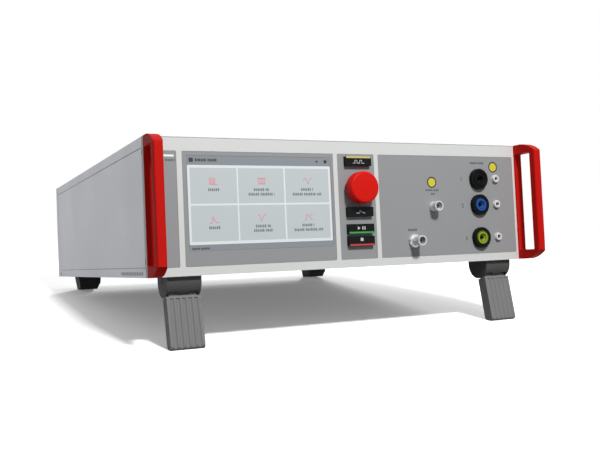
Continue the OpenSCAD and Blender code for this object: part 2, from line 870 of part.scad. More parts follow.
module fuse_drawer() {
    color("#202124")
    difference() {
        union() {
            box([mains_x - 11, rp_y - 20, inlet_z - 0.5], [mains_x + 11, rp_y + rp_t + 2.6, inlet_z + 8.5]);
            box([mains_x - 12.5, rp_y + rp_t + 2, inlet_z - 0.5], [mains_x + 12.5, rp_y + rp_t + 3.4, inlet_z + 8.5]);
        }
        box([mains_x - 9.5, rp_y - 18, inlet_z + 1.5], [mains_x + 9.5, rp_y - 4, inlet_z + 9]);
        box([mains_x - 3, rp_y + rp_t + 2.6, inlet_z + 5.5], [mains_x + 3, rp_y + rp_t + 4, inlet_z + 9]);
    }
}

module eut_inlet() {
    color("#232427")
    difference() {
        union() {
            plate(eut_x - 20, eut_x + 20, inlet_z - 17, inlet_z + 17, rp_y + rp_t, rp_y + rp_t + 2, 2);
            box([eut_x - 14, rp_y - 26, inlet_z - 14], [eut_x + 14, rp_y + rp_t + 0.5, inlet_z + 14]);
        }
        inlet_mouth(eut_x, inlet_z, 23, 17.5, 17);
    }
}

module inlet_pins() {
    color("#c9b26a")
    for (c = [[mains_x, inlet_z - 14], [eut_x, inlet_z]]) {
        for (s = [-1, 1])
            box([c[0] + s * 7 - 1, rp_y - 17, c[1] - 4], [c[0] + s * 7 + 1, rp_y - 1, c[1]]);
        box([c[0] - 1, rp_y - 17, c[1]], [c[0] + 1, rp_y + 1, c[1] + 4]);
    }
}

module fan_frame() {
    color("#232528")
    difference() {
        union() {
            difference() {
                plate(fan_x - fan_w / 2, fan_x + fan_w / 2, fan_z - fan_w / 2, fan_z + fan_w / 2,
                    rp_y - fan_d, rp_y, 3);
                ycyl(fan_x, fan_z, rp_y - fan_d - 1, rp_y + 1, fan_w / 2 - 1.6);
            }
            ycyl(fan_x, fan_z, rp_y - 3.5, rp_y - 0.4, 15);
            for (a = [0, 90, 180, 270])
                translate([fan_x, rp_y - 0.5, fan_z]) rotate([90, 0, 0]) rotate([0, 0, a])
                    translate([10, -1.5, 0]) cube([fan_w / 2 - 10.5, 3, 3]);
            ycyl(fan_x, fan_z, rp_y - 16, rp_y - 3, 1.5);
        }
        for (s = [-1, 1]) for (t = [-1, 1])
            ycyl(fan_x + s * (fan_w / 2 - 4.3), fan_z + t * (fan_w / 2 - 4.3), rp_y - fan_d - 1, rp_y + 1, 2.1);
    }
}

module fan_rotor() {
    color("#2b2d30")
    difference() {
        union() {
            ycyl(fan_x, fan_z, rp_y - fan_d + 1.5, rp_y - 4.2, 15);
            intersection() {
                translate([fan_x, rp_y - fan_d / 2 - 1, fan_z]) rotate([90, 0, 0])
                    for (a = [0 : 6]) rotate([0, 0, a * 360 / 7]) rotate([32, 0, 0])
                        translate([12, -8.5, -0.8]) cube([fan_w / 2 - 14, 17, 1.6]);
                ycyl(fan_x, fan_z, rp_y - fan_d + 2, rp_y - 5, fan_w / 2 - 3);
            }
        }
        ycyl(fan_x, fan_z, rp_y - 17, rp_y - 4, 1.55);
    }
}

// Side view of a front foot: flat on top and round below, about its pin
module foot_profile() {
    difference() {
        union() {
            translate([pin_y, pin_z]) circle(r = foot_r);
            translate([pin_y - foot_r, pin_z]) square([2 * foot_r, -pin_z]);
        }
        translate([pin_y - 2 * foot_r, 0]) square([4 * foot_r, 2 * foot_r]);
    }
}

// Room for the leg behind and below the front wall, k shortens the wall
module leg_room(k) {
    t = (wall_in - k * cos(tab_a)) / sin(tab_a);
    polygon([[pin_y - wall_in, 5], [pin_y - wall_in, pin_z - t * cos(tab_a) + k * sin(tab_a)],
        [pin_y - 60 * sin(tab_a) - k * cos(tab_a), pin_z - 60 * cos(tab_a) + k * sin(tab_a)],
        [pin_y + 60, -60], [pin_y + 60, 5]]);
}

// Shape in the side view, drawn out along X from x0 to x1
module along_x(x0, x1) {
    translate([x0, 0, 0]) rotate([90, 0, 90]) linear_extrude(height = x1 - x0) children();
}

// Front foot with two cheeks, a front wall and a tab in its middle
module foot(x) {
    inner = foot_w / 2 - cheek;
    difference() {
        along_x(x - foot_w / 2, x + foot_w / 2) foot_profile();
        along_x(x - inner, x - 6) leg_room(2.8);
        along_x(x - 6, x + 6) leg_room(0);
        along_x(x + 6, x + inner) leg_room(2.8);
        xcyl(x - foot_w, x + foot_w, pin_y, pin_z, pin_r + 0.02);
        for (d = [-9, 9])
            translate([x + d, foot_screw_y, -6.5]) cylinder(h = 10, r = 1.45);
    }
}

module foot_left() {
    color("#555654") foot(-foot_x);
}

module foot_right() {
    color("#555654") foot(foot_x);
}

module leg_pins() {
    color("#b9bcc0")
    for (s = [-1, 1])
        xcyl(s * foot_x - foot_w / 2 + 0.4, s * foot_x + foot_w / 2 - 0.4, pin_y, pin_z, pin_r);
}

// Leg drawn along -Z from its pin, front towards -Y, then leaned forward
module leg(x) {
    a = leg_lean + tilt;
    r1 = [leg_rear_t - tip_r, -leg_len];
    step = leg_t - 2 * tip_r;
    f1 = [r1[0] - step, -leg_len - step * tan(a)];
    down = [tip_r * sin(a), -tip_r * cos(a)];
    translate([x, pin_y, pin_z]) rotate([-leg_lean, 0, 0])
    difference() {
        union() {
            translate([-foot_w / 2, 0, 0]) rotate([90, 0, 90]) linear_extrude(height = foot_w)
                union() {
                    polygon([[leg_rear_t, 0], [leg_rear_t, -leg_len], r1, r1 + down, f1 + down,
                        [f1[0] - tip_r, f1[1]], [-leg_front_t, 0]]);
                    translate(r1) circle(r = tip_r);
                    translate(f1) circle(r = tip_r);
                }
            xcyl(-foot_w / 2, foot_w / 2, 0, 0, leg_rear_t);
        }
        // Room for the two cheeks of the foot, round the pin
        for (s = [-1, 1])
            xcyl(s * (foot_w / 2 - cheek / 2) - cheek / 2 - 0.3, s * (foot_w / 2 - cheek / 2) + cheek / 2 + 0.3,
                0, 0, foot_r + 0.8);
        // Room for the foot's front wall and its tab
        translate([-foot_w, -20, -notch_s]) cube([foot_w * 2, 20 - notch_t, 30]);
        xcyl(-foot_w, foot_w, 0, 0, pin_r + 0.06);
        for (i = [-2 : 2])
            translate([i * foot_w * 0.175, -leg_front_t - 1.1, -leg_len - 12]) cylinder(h = leg_len - 6.5, r = 2.3);
    }
}

module leg_left() {
    color("#808080") leg(-foot_x);
}

module leg_right() {
    color("#808080") leg(foot_x);
}

module rear_feet() {
    color("#1c1e1c")
    for (s = [-1, 1]) {
        y1 = case_d - rear_foot_in;
        difference() {
            intersection() {
                translate([s * foot_x, y1, 0]) rotate([90, 0, 0]) linear_extrude(height = rear_foot)
                    polygon([[-rear_foot / 2, 0], [-rear_foot / 2 + 0.6, -7], [-rear_foot / 2 + 3, -foot_h],
                        [rear_foot / 2 - 5.5, -foot_h], [rear_foot / 2 - 1.6, -foot_h * 0.66],
                        [rear_foot / 2 - 0.6, -foot_h * 0.6], [rear_foot / 2, 0]]);
                translate([s * foot_x - rear_foot, 0, 0]) rotate([90, 0, 90]) linear_extrude(height = 2 * rear_foot)
                    polygon([[y1, 0], [y1 - 1.5, -foot_h], [y1 - rear_foot + 3, -foot_h], [y1 - rear_foot, 0]]);
            }
            for (d = [-9, 9])
                translate([s * foot_x + d, back_y - 8, -9]) cylinder(h = 10, r = 1.45);
        }
    }
}

module foot_screws() {
    color("#c4c7ca")
    for (s = [-1, 1]) for (d = [-9, 9]) {
        zscrew(s * foot_x + d, foot_screw_y, cover_t, 2.6, 2, 1.4, cover_t + 6);
        zscrew(s * foot_x + d, back_y - 8, cover_t, 2.6, 2, 1.4, cover_t + 8);
    }
}

module chassis_plate() {
    color("#aeb2b4")
    difference() {
        box([-half + web_t + gap, 30, chassis_z], [half - web_t - gap, back_y - 15, chassis_z + chassis_t]);
        for (x = [-160 : 40 : 160]) for (y = [250, 430])
            translate([x, y, chassis_z - 1]) cylinder(h = chassis_t + 2, r = 6);
    }
}

module power_supply() {
    color("#b4b8ba")
    difference() {
        box([-200, 320, chassis_z + chassis_t], [-90, 470, chassis_z + chassis_t + 42]);
        box([-198.5, 321.5, chassis_z + chassis_t + 1.5], [-91.5, 468.5, chassis_z + chassis_t + 40.5]);
        for (i = [0 : 8]) for (j = [0 : 11])
            translate([-192 + i * 12, 328 + j * 12, chassis_z + chassis_t + 38]) cylinder(h = 9, r = 3);
    }
}

module main_board() {
    color("#2c6b45")
    union() {
        box([-205, 60, chassis_z + chassis_t + 8], [-35, 280, chassis_z + chassis_t + 9.6]);
        for (x = [-199, -41]) for (y = [66, 170, 274])
            translate([x, y, chassis_z + chassis_t]) cylinder(h = 9, r = 3.5);
        box([-150, 90, chassis_z + chassis_t + 9], [-110, 130, chassis_z + chassis_t + 18]);
        box([-190, 200, chassis_z + chassis_t + 9], [-172, 262, chassis_z + chassis_t + 20]);
        box([-80, 80, chassis_z + chassis_t + 9], [-60, 110, chassis_z + chassis_t + 16]);
        for (i = [0 : 3])
            translate([-140 + i * 20, 240, chassis_z + chassis_t + 9]) cylinder(h = 24, r = 8);
    }
}

module capacitor_bank() {
    color("#3a5a86")
    union() {
        box([20, 90, chassis_z + chassis_t], [90, 245, chassis_z + chassis_t + 4]);
        for (y = [120, 168, 216])
            translate([55, y, chassis_z + chassis_t + 3]) cylinder(h = 88, r = 22);
        for (y = [120, 168, 216]) for (s = [-1, 1])
            translate([55 + s * 9, y, chassis_z + chassis_t + 90]) cylinder(h = 7, r = 3);
    }
}

module transformer_core() {
    color("#54565a")
    difference() {
        box([60, 300, chassis_z + chassis_t], [180, 372, chassis_z + chassis_t + 92]);
        for (x = [84, 136])
            box([x - 6, 299, chassis_z + chassis_t + 18], [x + 26, 373, chassis_z + chassis_t + 74]);
    }
}

module transformer_coil() {
    color("#b06a34")
    difference() {
        box([78.5, 284, chassis_z + chassis_t + 18.5], [161.5, 388, chassis_z + chassis_t + 73.5]);
        box([109.5, 299, chassis_z + chassis_t + 18], [130.5, 373, chassis_z + chassis_t + 74]);
    }
}

standing() front_frame();
standing() strip_panel();
standing() status_light();
standing() display_panel();
standing() display_glass();
standing() display_module();
standing() control_panel();
standing() key_board();
standing() encoder();
standing() knob();
standing() key_test();
standing() key_pulse();
standing() key_start();
standing() key_stop();
standing() bar_test();
standing() bar_start();
standing() bar_stop();
standing() output_panel();
standing() line_socket();
standing() neutral_socket();
standing() neutral_insert();
standing() earth_socket();
standing() earth_insert();
standing() socket_contacts();
standing() sense_sockets();
standing() hv_jack();
standing() signal_jack();
standing() signal_nut();
standing() jack_cores();
standing() handle_left();
standing() handle_right();
standing() handle_screws();
standing() side_left();
standing() side_right();
standing() top_cover();
standing() bottom_cover();
standing() case_screws();
standing() frame_screws();
standing() rear_frame();
standing() rear_panel();
standing() mains_inlet();
standing() mains_rocker();
standing() fuse_drawer();
standing() eut_inlet();
standing() inlet_pins();
standing() fan_frame();
standing() fan_rotor();
standing() foot_left();
standing() foot_right();
standing() leg_pins();
standing() leg_left();
standing() leg_right();
standing() rear_feet();
standing() foot_screws();
standing() chassis_plate();
standing() power_supply();
standing() main_board();
standing() capacitor_bank();
standing() transformer_core();
standing() transformer_coil();
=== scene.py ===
"""Looks of a bench surge generator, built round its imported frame.

Its pieces get rounded edges and finishes, the screen, keys and panels get their marks, and a studio with
two lamps and a camera stands round them.
"""
import json
import math

import bmesh
import bpy
from bpy.props import FloatProperty, FloatVectorProperty, PointerProperty
from mathutils import Matrix, Vector

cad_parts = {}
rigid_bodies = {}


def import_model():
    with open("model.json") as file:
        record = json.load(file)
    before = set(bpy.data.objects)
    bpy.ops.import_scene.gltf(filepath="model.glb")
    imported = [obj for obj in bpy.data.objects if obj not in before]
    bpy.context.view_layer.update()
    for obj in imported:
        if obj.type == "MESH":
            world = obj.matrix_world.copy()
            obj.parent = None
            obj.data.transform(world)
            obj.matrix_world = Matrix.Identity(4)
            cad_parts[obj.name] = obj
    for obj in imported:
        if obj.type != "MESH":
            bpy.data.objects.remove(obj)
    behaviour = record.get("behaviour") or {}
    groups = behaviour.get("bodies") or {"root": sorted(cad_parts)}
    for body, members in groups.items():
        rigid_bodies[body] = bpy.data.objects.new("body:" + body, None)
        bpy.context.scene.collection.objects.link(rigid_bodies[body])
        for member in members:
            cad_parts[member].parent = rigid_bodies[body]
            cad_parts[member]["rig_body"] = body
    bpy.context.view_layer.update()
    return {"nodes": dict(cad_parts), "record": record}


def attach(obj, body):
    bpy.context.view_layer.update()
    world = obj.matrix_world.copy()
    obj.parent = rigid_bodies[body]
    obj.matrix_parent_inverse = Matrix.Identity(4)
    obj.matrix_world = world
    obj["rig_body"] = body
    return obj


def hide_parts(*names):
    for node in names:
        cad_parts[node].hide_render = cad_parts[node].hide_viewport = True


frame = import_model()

bl_info = {
    "name": "Surge generator looks",
    "version": (1, 0, 0),
    "blender": (4, 5, 0),
    "location": "3D View > Sidebar > Surge generator",
    "description": "Rounded edges, screen picture, key symbols, marks, finishes and studio",
    "category": "Object",
}

MM = 0.001

# Case millimetres: X right, Y to the back, Z up, zero at the front face, the case bottom and the middle.
# The mount of the middle large socket is the known point that ties them to the frame.
MOUNT_PLACE = Vector((161.0, 9.8, 63.8))
MOUNT = next(m for m in frame["record"]["mounts"] if m["name"] == "neutral_socket")
CASE_TILT = math.atan2(MOUNT["axis"][2], -MOUNT["axis"][1])
CASE_TURN = Matrix.Rotation(-CASE_TILT, 4, "X") @ Matrix.Scale(MM, 4)
CASE = Matrix.Translation(Vector(MOUNT["pos_m"]) - CASE_TURN @ MOUNT_PLACE) @ CASE_TURN


def span(node, axis):
    """Lowest and highest place of a CAD node along an axis, in case millimetres to the hundredth."""
    to_case = CASE.inverted()
    places = [(to_case @ vert.co)["XYZ".index(axis)] for vert in frame["nodes"][node].data.vertices]
    return round(min(places), 2), round(max(places), 2)


def front(node):
    """Depth of a CAD node's front face."""
    return span(node, "Y")[0]


def middle(node):
    """Middle of a CAD node in the front view, as X and Z."""
    return sum(span(node, "X")) / 2, sum(span(node, "Z")) / 2


# Edges above these angles stay sharp, in degrees: of CAD nodes, which are rounded there, and of new pieces
NODE_SHARP = 35.0
PIECE_SHARP = 30.0
# A node's loose triangles are merged within this distance, and flat neighbours joined below this angle
MERGE_DISTANCE = 0.002 * MM
FLAT_ANGLE = 0.6

# Colour sockets of a Mix node, which share their names with its other kinds
MIX_LOW, MIX_HIGH, MIX_RESULT = 6, 7, 2
# Most of a noise texture's values lie inside these spans
GRAIN_SPAN = (0.35, 0.65)
PATCH_SPAN = (0.3, 0.7)
WHITE = (1, 1, 1, 1)

# Small blocks in a row: their widths, rises and gaps in turn, as parts of the row's height
BLOCK_WIDTHS = (0.52, 0.40, 0.58, 0.44, 0.50)
BLOCK_RISES = (0.5, 0.5, 0.42, 0.38, 0.5)
BLOCK_GAPS = (0.20, 0.20, 0.20, 0.20, 0.20, 0.60, 0.20)
# A row ends when less than this is left, in millimetres
ROW_REST = 0.5


def linear(colour):
    """An sRGB hex colour as the linear RGBA that shaders and properties use."""
    parts = [int(colour[i:i + 2], 16) / 255 for i in (1, 3, 5)]
    return [c / 12.92 if c <= 0.04045 else ((c + 0.055) / 1.055) ** 2.4 for c in parts] + [1.0]


def paint(name, colour):
    """A colour property with an sRGB hex default."""
    return FloatVectorProperty(name=name, description=name + " colour", default=linear(colour)[:3],
                               subtype="COLOR", size=3, min=0, max=1)


def length(name, value, low, high):
    """A length property in case millimetres."""
    return FloatProperty(name=name, description=name + ", in millimetres", default=value, min=low, max=high)


def number(name, value, about, **limits):
    """A plain number property."""
    return FloatProperty(name=name, description=about, default=value, **limits)


class CaseLooks(bpy.types.PropertyGroup):
    """Colours and edge radii of the case."""
    frame_paint: paint("Frame paint", "#d6d8d6")
    panel_foil: paint("Panel foil", "#949698")
    side_metal: paint("Side metal", "#a4a7ac")
    cover_coat: paint("Cover coat", "#c0c2c4")
    rear_metal: paint("Rear frame metal", "#c6c8cc")
    handle_red: paint("Handle red", "#c41a15")
    foot_grey: paint("Foot grey", "#515251")
    leg_grey: paint("Leg grey", "#808080")
    rear_foot_black: paint("Rear foot black", "#434543")
    frame_edge: length("Frame edge radius", 0.4, 0.05, 1.5)
    handle_edge: length("Handle edge radius", 0.9, 0.05, 2.5)
    foot_edge: length("Foot edge radius", 0.6, 0.05, 1.5)


class FrontLooks(bpy.types.PropertyGroup):
    """Colours and sizes of what is on the front."""
    header: paint("Screen header", "#8a9095")
    field: paint("Tile field", "#e0e6e8")
    tile: paint("Tile", "#c0c8ca")
    waveform: paint("Waveform", "#e08a9c")
    tile_blocks: paint("Rows of blocks in the tiles", "#757e82")
    header_marks: paint("Header marks", "#404447")
    key_black: paint("Key black", "#151517")
    key_symbol: paint("Key symbol", "#c9cccc")
    bar_yellow: paint("Yellow bar", "#beb96e")
    bar_green: paint("Green bar", "#3c9646")
    bar_red: paint("Red bar", "#b43c41")
    dial_red: paint("Dial red", "#d41b14")
    disc_yellow: paint("Disc yellow", "#d3c63a")
    rim_dark: paint("Disc rim", "#36383a")
    print_grey: paint("Print grey", "#54575a")
    waveform_line: length("Waveform line width", 0.7, 0.2, 2)
    symbol_line: length("Key symbol line width", 0.6, 0.2, 2)
    disc_d: length("Yellow disc diameter", 12.5, 6, 20)


class StageLooks(bpy.types.PropertyGroup):
    """Camera and lamps."""
    camera_at: FloatVectorProperty(name="Camera place", description="Place in case millimetres",
                                   default=(-413.673, -717.986, 13.442), size=3)
    camera_yaw: number("Yaw", -25.8311, "Turn of the camera about the case's Z in degrees")
    camera_pitch: number("Pitch", 2.3197, "Upward look of the camera in degrees")
    camera_roll: number("Roll", 2.5172, "Roll of the camera in degrees")
    camera_focus: number("Focal length", 788.707, "Focal length in pixels of a 600 pixel wide picture")
    key_power: number("Key lamp", 36.5, "Power of the lamp above the front", min=0, subtype="POWER")
    rear_power: number("Rear lamp", 38, "Power of the low lamp behind the object", min=0, subtype="POWER")
    sky: number("Sky", 0.26, "Strength of the even light from the surroundings", min=0)


def add(tree, kind, links=None, inputs=None, **settings):
    """Adds a node with its settings, its own input values and the sockets linked into it."""
    node = tree.nodes.new(kind)
    for name, value in settings.items():
        setattr(node, name, value)
    for name, value in (inputs or {}).items():
        node.inputs[name].default_value = value
    for name, socket in (links or {}).items():
        tree.links.new(socket, node.inputs[name])
    return node


def start_material(name):
    """A new material, its node tree, and the case's own millimetres as a vector socket."""
    material = bpy.data.materials.new(name)
    material.use_nodes = True
    tree = material.node_tree
    tree.nodes.clear()
    place = add(tree, "ShaderNodeTexCoord").outputs["Object"]
    turned = add(tree, "ShaderNodeMapping", {"Vector": place},
                 {"Rotation": (CASE_TILT, 0, 0), "Scale": (1 / MM, 1 / MM, 1 / MM)})
    return material, tree, turned.outputs["Vector"]


def close_material(tree, shader):
    """Links the last shader to the output."""
    add(tree, "ShaderNodeOutputMaterial", {"Surface": shader})


def rgba(colour):
    """A hex colour or a property colour as linear RGBA."""
    return linear(colour) if isinstance(colour, str) else [*colour, 1.0]


def shade(colour, factor):
    """The same colour, lighter or darker by a factor."""
    return [min(1.0, c * factor) for c in colour[:3]] + [1.0]


def surface(name, colour, rough, grain, bump, metal=0.0, streak=(1, 1, 1), mottle=0.03, patch=30.0,
            glow=0.0, gloss=0.3, speckle=0.0):
    """A finished surface. rough is its lowest and highest roughness, grain the size of its texture in mm,
    bump the depth of that in mm, streak how it is drawn out, mottle its colour change over patches of patch
    mm, speckle its colour change from grain to grain, gloss the strength of its reflection if not metal."""
    material, tree, place = start_material(name)
    drawn = add(tree, "ShaderNodeMapping", {"Vector": place}, {"Scale": streak}).outputs["Vector"]
    patches = add(tree, "ShaderNodeTexNoise", {"Vector": place},
                  {"Scale": 1 / patch, "Detail": 3.0, "Roughness": 0.5}).outputs["Fac"]
    grains = add(tree, "ShaderNodeTexNoise", {"Vector": drawn},
                 {"Scale": 1 / grain, "Detail": 2.0, "Roughness": 0.6}).outputs["Fac"]
    base = rgba(colour)
    tone = add(tree, "ShaderNodeMix", {"Factor": patches},
               {MIX_LOW: shade(base, 1 - mottle), MIX_HIGH: shade(base, 1 + mottle)},
               data_type="RGBA").outputs[MIX_RESULT]
    if speckle:
        fleck = add(tree, "ShaderNodeMapRange", {"Value": grains},
                    {"From Min": GRAIN_SPAN[0], "From Max": GRAIN_SPAN[1], "To Min": 1 - speckle,
                     "To Max": 1 + speckle})
        tone = add(tree, "ShaderNodeVectorMath", {0: tone, "Scale": fleck.outputs["Result"]},
                   operation="SCALE").outputs["Vector"]
    dull = add(tree, "ShaderNodeMapRange", {"Value": patches},
               {"From Min": PATCH_SPAN[0], "From Max": PATCH_SPAN[1], "To Min": rough[0],
                "To Max": rough[1]}).outputs["Result"]
    relief = add(tree, "ShaderNodeBump", {"Height": grains}, {"Strength": 1.0, "Distance": bump * MM})
    values = {"Metallic": metal} if metal else {"Specular IOR Level": gloss}
    shader = add(tree, "ShaderNodeBsdfPrincipled",
                 {"Base Color": tone, "Roughness": dull, "Normal": relief.outputs["Normal"]}, values)
    if glow:
        tree.links.new(tone, shader.inputs["Emission Color"])
        shader.inputs["Emission Strength"].default_value = glow
    close_material(tree, shader.outputs["BSDF"])
    return material


def ribbed(name, low, high, pitch, axis, rough, bump, metal):
    """A surface of fine parallel ribs pitch mm apart, such as wire turns or stacked sheets."""
    material, tree, place = start_material(name)
    # One wave of Blender's band pattern at scale 1 is pi / 10 long
    bands = add(tree, "ShaderNodeTexWave", {"Vector": place},
                {"Scale": math.pi / 10 / pitch, "Distortion": 0.15, "Detail": 1.0},
                wave_type="BANDS", bands_direction=axis, wave_profile="SIN").outputs["Fac"]
    tone = add(tree, "ShaderNodeMix", {"Factor": bands}, {MIX_LOW: linear(low), MIX_HIGH: linear(high)},
               data_type="RGBA").outputs[MIX_RESULT]
    relief = add(tree, "ShaderNodeBump", {"Height": bands}, {"Strength": 1.0, "Distance": bump * MM})
    shader = add(tree, "ShaderNodeBsdfPrincipled", {"Base Color": tone, "Normal": relief.outputs["Normal"]},
                 {"Metallic": metal, "Roughness": rough})
    close_material(tree, shader.outputs["BSDF"])
    return material


def board_material(name, pitch=2.54, track=0.03):
    """Green solder resist: the tracks are lighter lines, track mm high, on a grid of pitch mm."""
    material, tree, place = start_material(name)
    tracks = add(tree, "ShaderNodeTexBrick", {"Vector": place},
                 {"Scale": 1 / pitch, "Mortar Size": 0.06, "Mortar Smooth": 0.2, "Brick Width": 3.0,
                  "Row Height": 1.0, "Color1": linear("#26603d"), "Color2": linear("#2c6b45"),
                  "Mortar": linear("#4f9468")})
    relief = add(tree, "ShaderNodeBump", {"Height": tracks.outputs["Fac"]},
                 {"Strength": 1.0, "Distance": track * MM})
    shader = add(tree, "ShaderNodeBsdfPrincipled",
                 {"Base Color": tracks.outputs["Color"], "Normal": relief.outputs["Normal"]},
                 {"Roughness": 0.35, "Coat Weight": 0.3, "Coat Roughness": 0.15})
    close_material(tree, shader.outputs["BSDF"])
    return material


def wear(mesh, material):
    """Gives a mesh its one material."""
    mesh.materials.clear()
    mesh.materials.append(material)


def finish_nodes(material, *nodes):
    """Gives CAD nodes their material and leaves their shape as it is."""
    for node in nodes:
        wear(frame["nodes"][node].data, material)


def place_object(name, data):
    """A new object in the scene."""
    made = bpy.data.objects.new(name, data)
    bpy.context.scene.collection.objects.link(made)
    return made


def smooth_mesh(name, bm, sharp):
    """The mesh of a bmesh, shaded smooth but for the edges above the sharp angle."""
    mesh = bpy.data.meshes.new(name)
    bm.to_mesh(mesh)
    bm.free()
    # A copy of a CAD node carries stored normals, which would hide the rounding
    if "custom_normal" in mesh.attributes:
        mesh.attributes.remove(mesh.attributes["custom_normal"])
    mesh.shade_smooth()
    mesh.set_sharp_from_angle(angle=math.radians(sharp))
    return mesh


def place_piece(name, bm, body, material):
    """Makes a piece from a bmesh in case millimetres: faces outwards, placed, riding on its body."""
    bmesh.ops.recalc_face_normals(bm, faces=bm.faces)
    bm.transform(CASE)
    piece = place_object(name, smooth_mesh(name, bm, PIECE_SHARP))
    wear(piece.data, material)
    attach(piece, body)


def rounded(node, radius, material, segments):
    """Stands for a CAD node with its shape and rounded edges: its triangles are first merged to faces."""
    bm = bmesh.new()
    bm.from_mesh(frame["nodes"][node].data)
    bmesh.ops.remove_doubles(bm, verts=bm.verts, dist=MERGE_DISTANCE)
    bmesh.ops.dissolve_limit(bm, angle_limit=math.radians(FLAT_ANGLE), verts=bm.verts, edges=bm.edges)
    name = node + "_finished"
    piece = place_object(name, smooth_mesh(name, bm, NODE_SHARP))
    wear(piece.data, material)
    edges = piece.modifiers.new("Edges", "BEVEL")
    edges.width = radius * MM
    edges.segments = segments
    edges.limit_method = "ANGLE"
    edges.angle_limit = math.radians(NODE_SHARP)
    edges.use_clamp_overlap = True
    edges.harden_normals = True
    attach(piece, frame["nodes"][node]["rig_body"])
    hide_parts(node)


def round_nodes(material, radius, *nodes, segments=2):
    """Gives CAD nodes their material and rounded edges."""
    for node in nodes:
        rounded(node, radius, material, segments)


def block(bm, box, depth, corner=0.0):
    """A flat block: box is its left, right, bottom and top, depth its front and back, corner the radius of
    its corners in the front view."""
    x0, x1, z0, z1 = box
    y0, y1 = depth
    size = Vector((x1 - x0, y1 - y0, z1 - z0))
    centre = Vector(((x0 + x1) / 2, (y0 + y1) / 2, (z0 + z1) / 2))
    made = bmesh.ops.create_cube(bm, size=1.0, matrix=Matrix.LocRotScale(centre, None, size))
    if corner:
        edges = dict.fromkeys(e for v in made["verts"] for e in v.link_edges)
        upright = [e for e in edges if abs(e.verts[0].co.y - e.verts[1].co.y) > size.y / 2]
        bmesh.ops.bevel(bm, geom=upright, offset=corner, affect="EDGES", segments=4, profile=0.5,
                        material=-1)


def disc(bm, x, z, depth, r, segments=48):
    """A round plate facing the front."""
    y0, y1 = depth
    place = Matrix.Translation((x, (y0 + y1) / 2, z)) @ Matrix.Rotation(math.radians(90), 4, "X")
    bmesh.ops.create_cone(bm, cap_ends=True, segments=segments, radius1=r, radius2=r, depth=y1 - y0,
                          matrix=place)


def ring(bm, x, y, z, r, wire, steps=48, sides=10):
    """A round bead about an axis along Y."""
    section = bmesh.ops.create_circle(bm, cap_ends=False, segments=sides, radius=wire,
                                      matrix=Matrix.Translation((x + r, y, z)))
    edges = dict.fromkeys(e for v in section["verts"] for e in v.link_edges)
    bmesh.ops.spin(bm, geom=section["verts"] + list(edges), cent=(x, y, z), axis=(0, 1, 0),
                   angle=math.radians(360), steps=steps, use_merge=True)


def stroke(bm, points, width, depth):
    """A line of even width through points in the front plane, with round joints."""
    y0, y1 = depth
    for a, b in zip(points, points[1:]):
        run = Vector((b[0] - a[0], 0, b[1] - a[1]))
        place = Matrix.Translation(((a[0] + b[0]) / 2, (y0 + y1) / 2, (a[1] + b[1]) / 2))
        turn = Matrix.Rotation(-math.atan2(run.z, run.x), 4, "Y")
        size = Matrix.Diagonal((run.length, y1 - y0, width, 1))
        bmesh.ops.create_cube(bm, size=1.0, matrix=place @ turn @ size)
    for x, z in points:
        disc(bm, x, z, depth, width / 2, segments=12)


def row_of_blocks(bm, x0, x1, z, height, depth):
    """A row of small plain blocks of uneven width, from x0 to x1 about the height z."""
    x, count = x0, 0
    while x < x1 - ROW_REST:
        width = height * BLOCK_WIDTHS[count % len(BLOCK_WIDTHS)]
        rise = height * BLOCK_RISES[count % len(BLOCK_RISES)]
        block(bm, (x, min(x + width, x1), z - height / 2, z + rise), depth)
        x += width + height * BLOCK_GAPS[count % len(BLOCK_GAPS)]
        count += 1


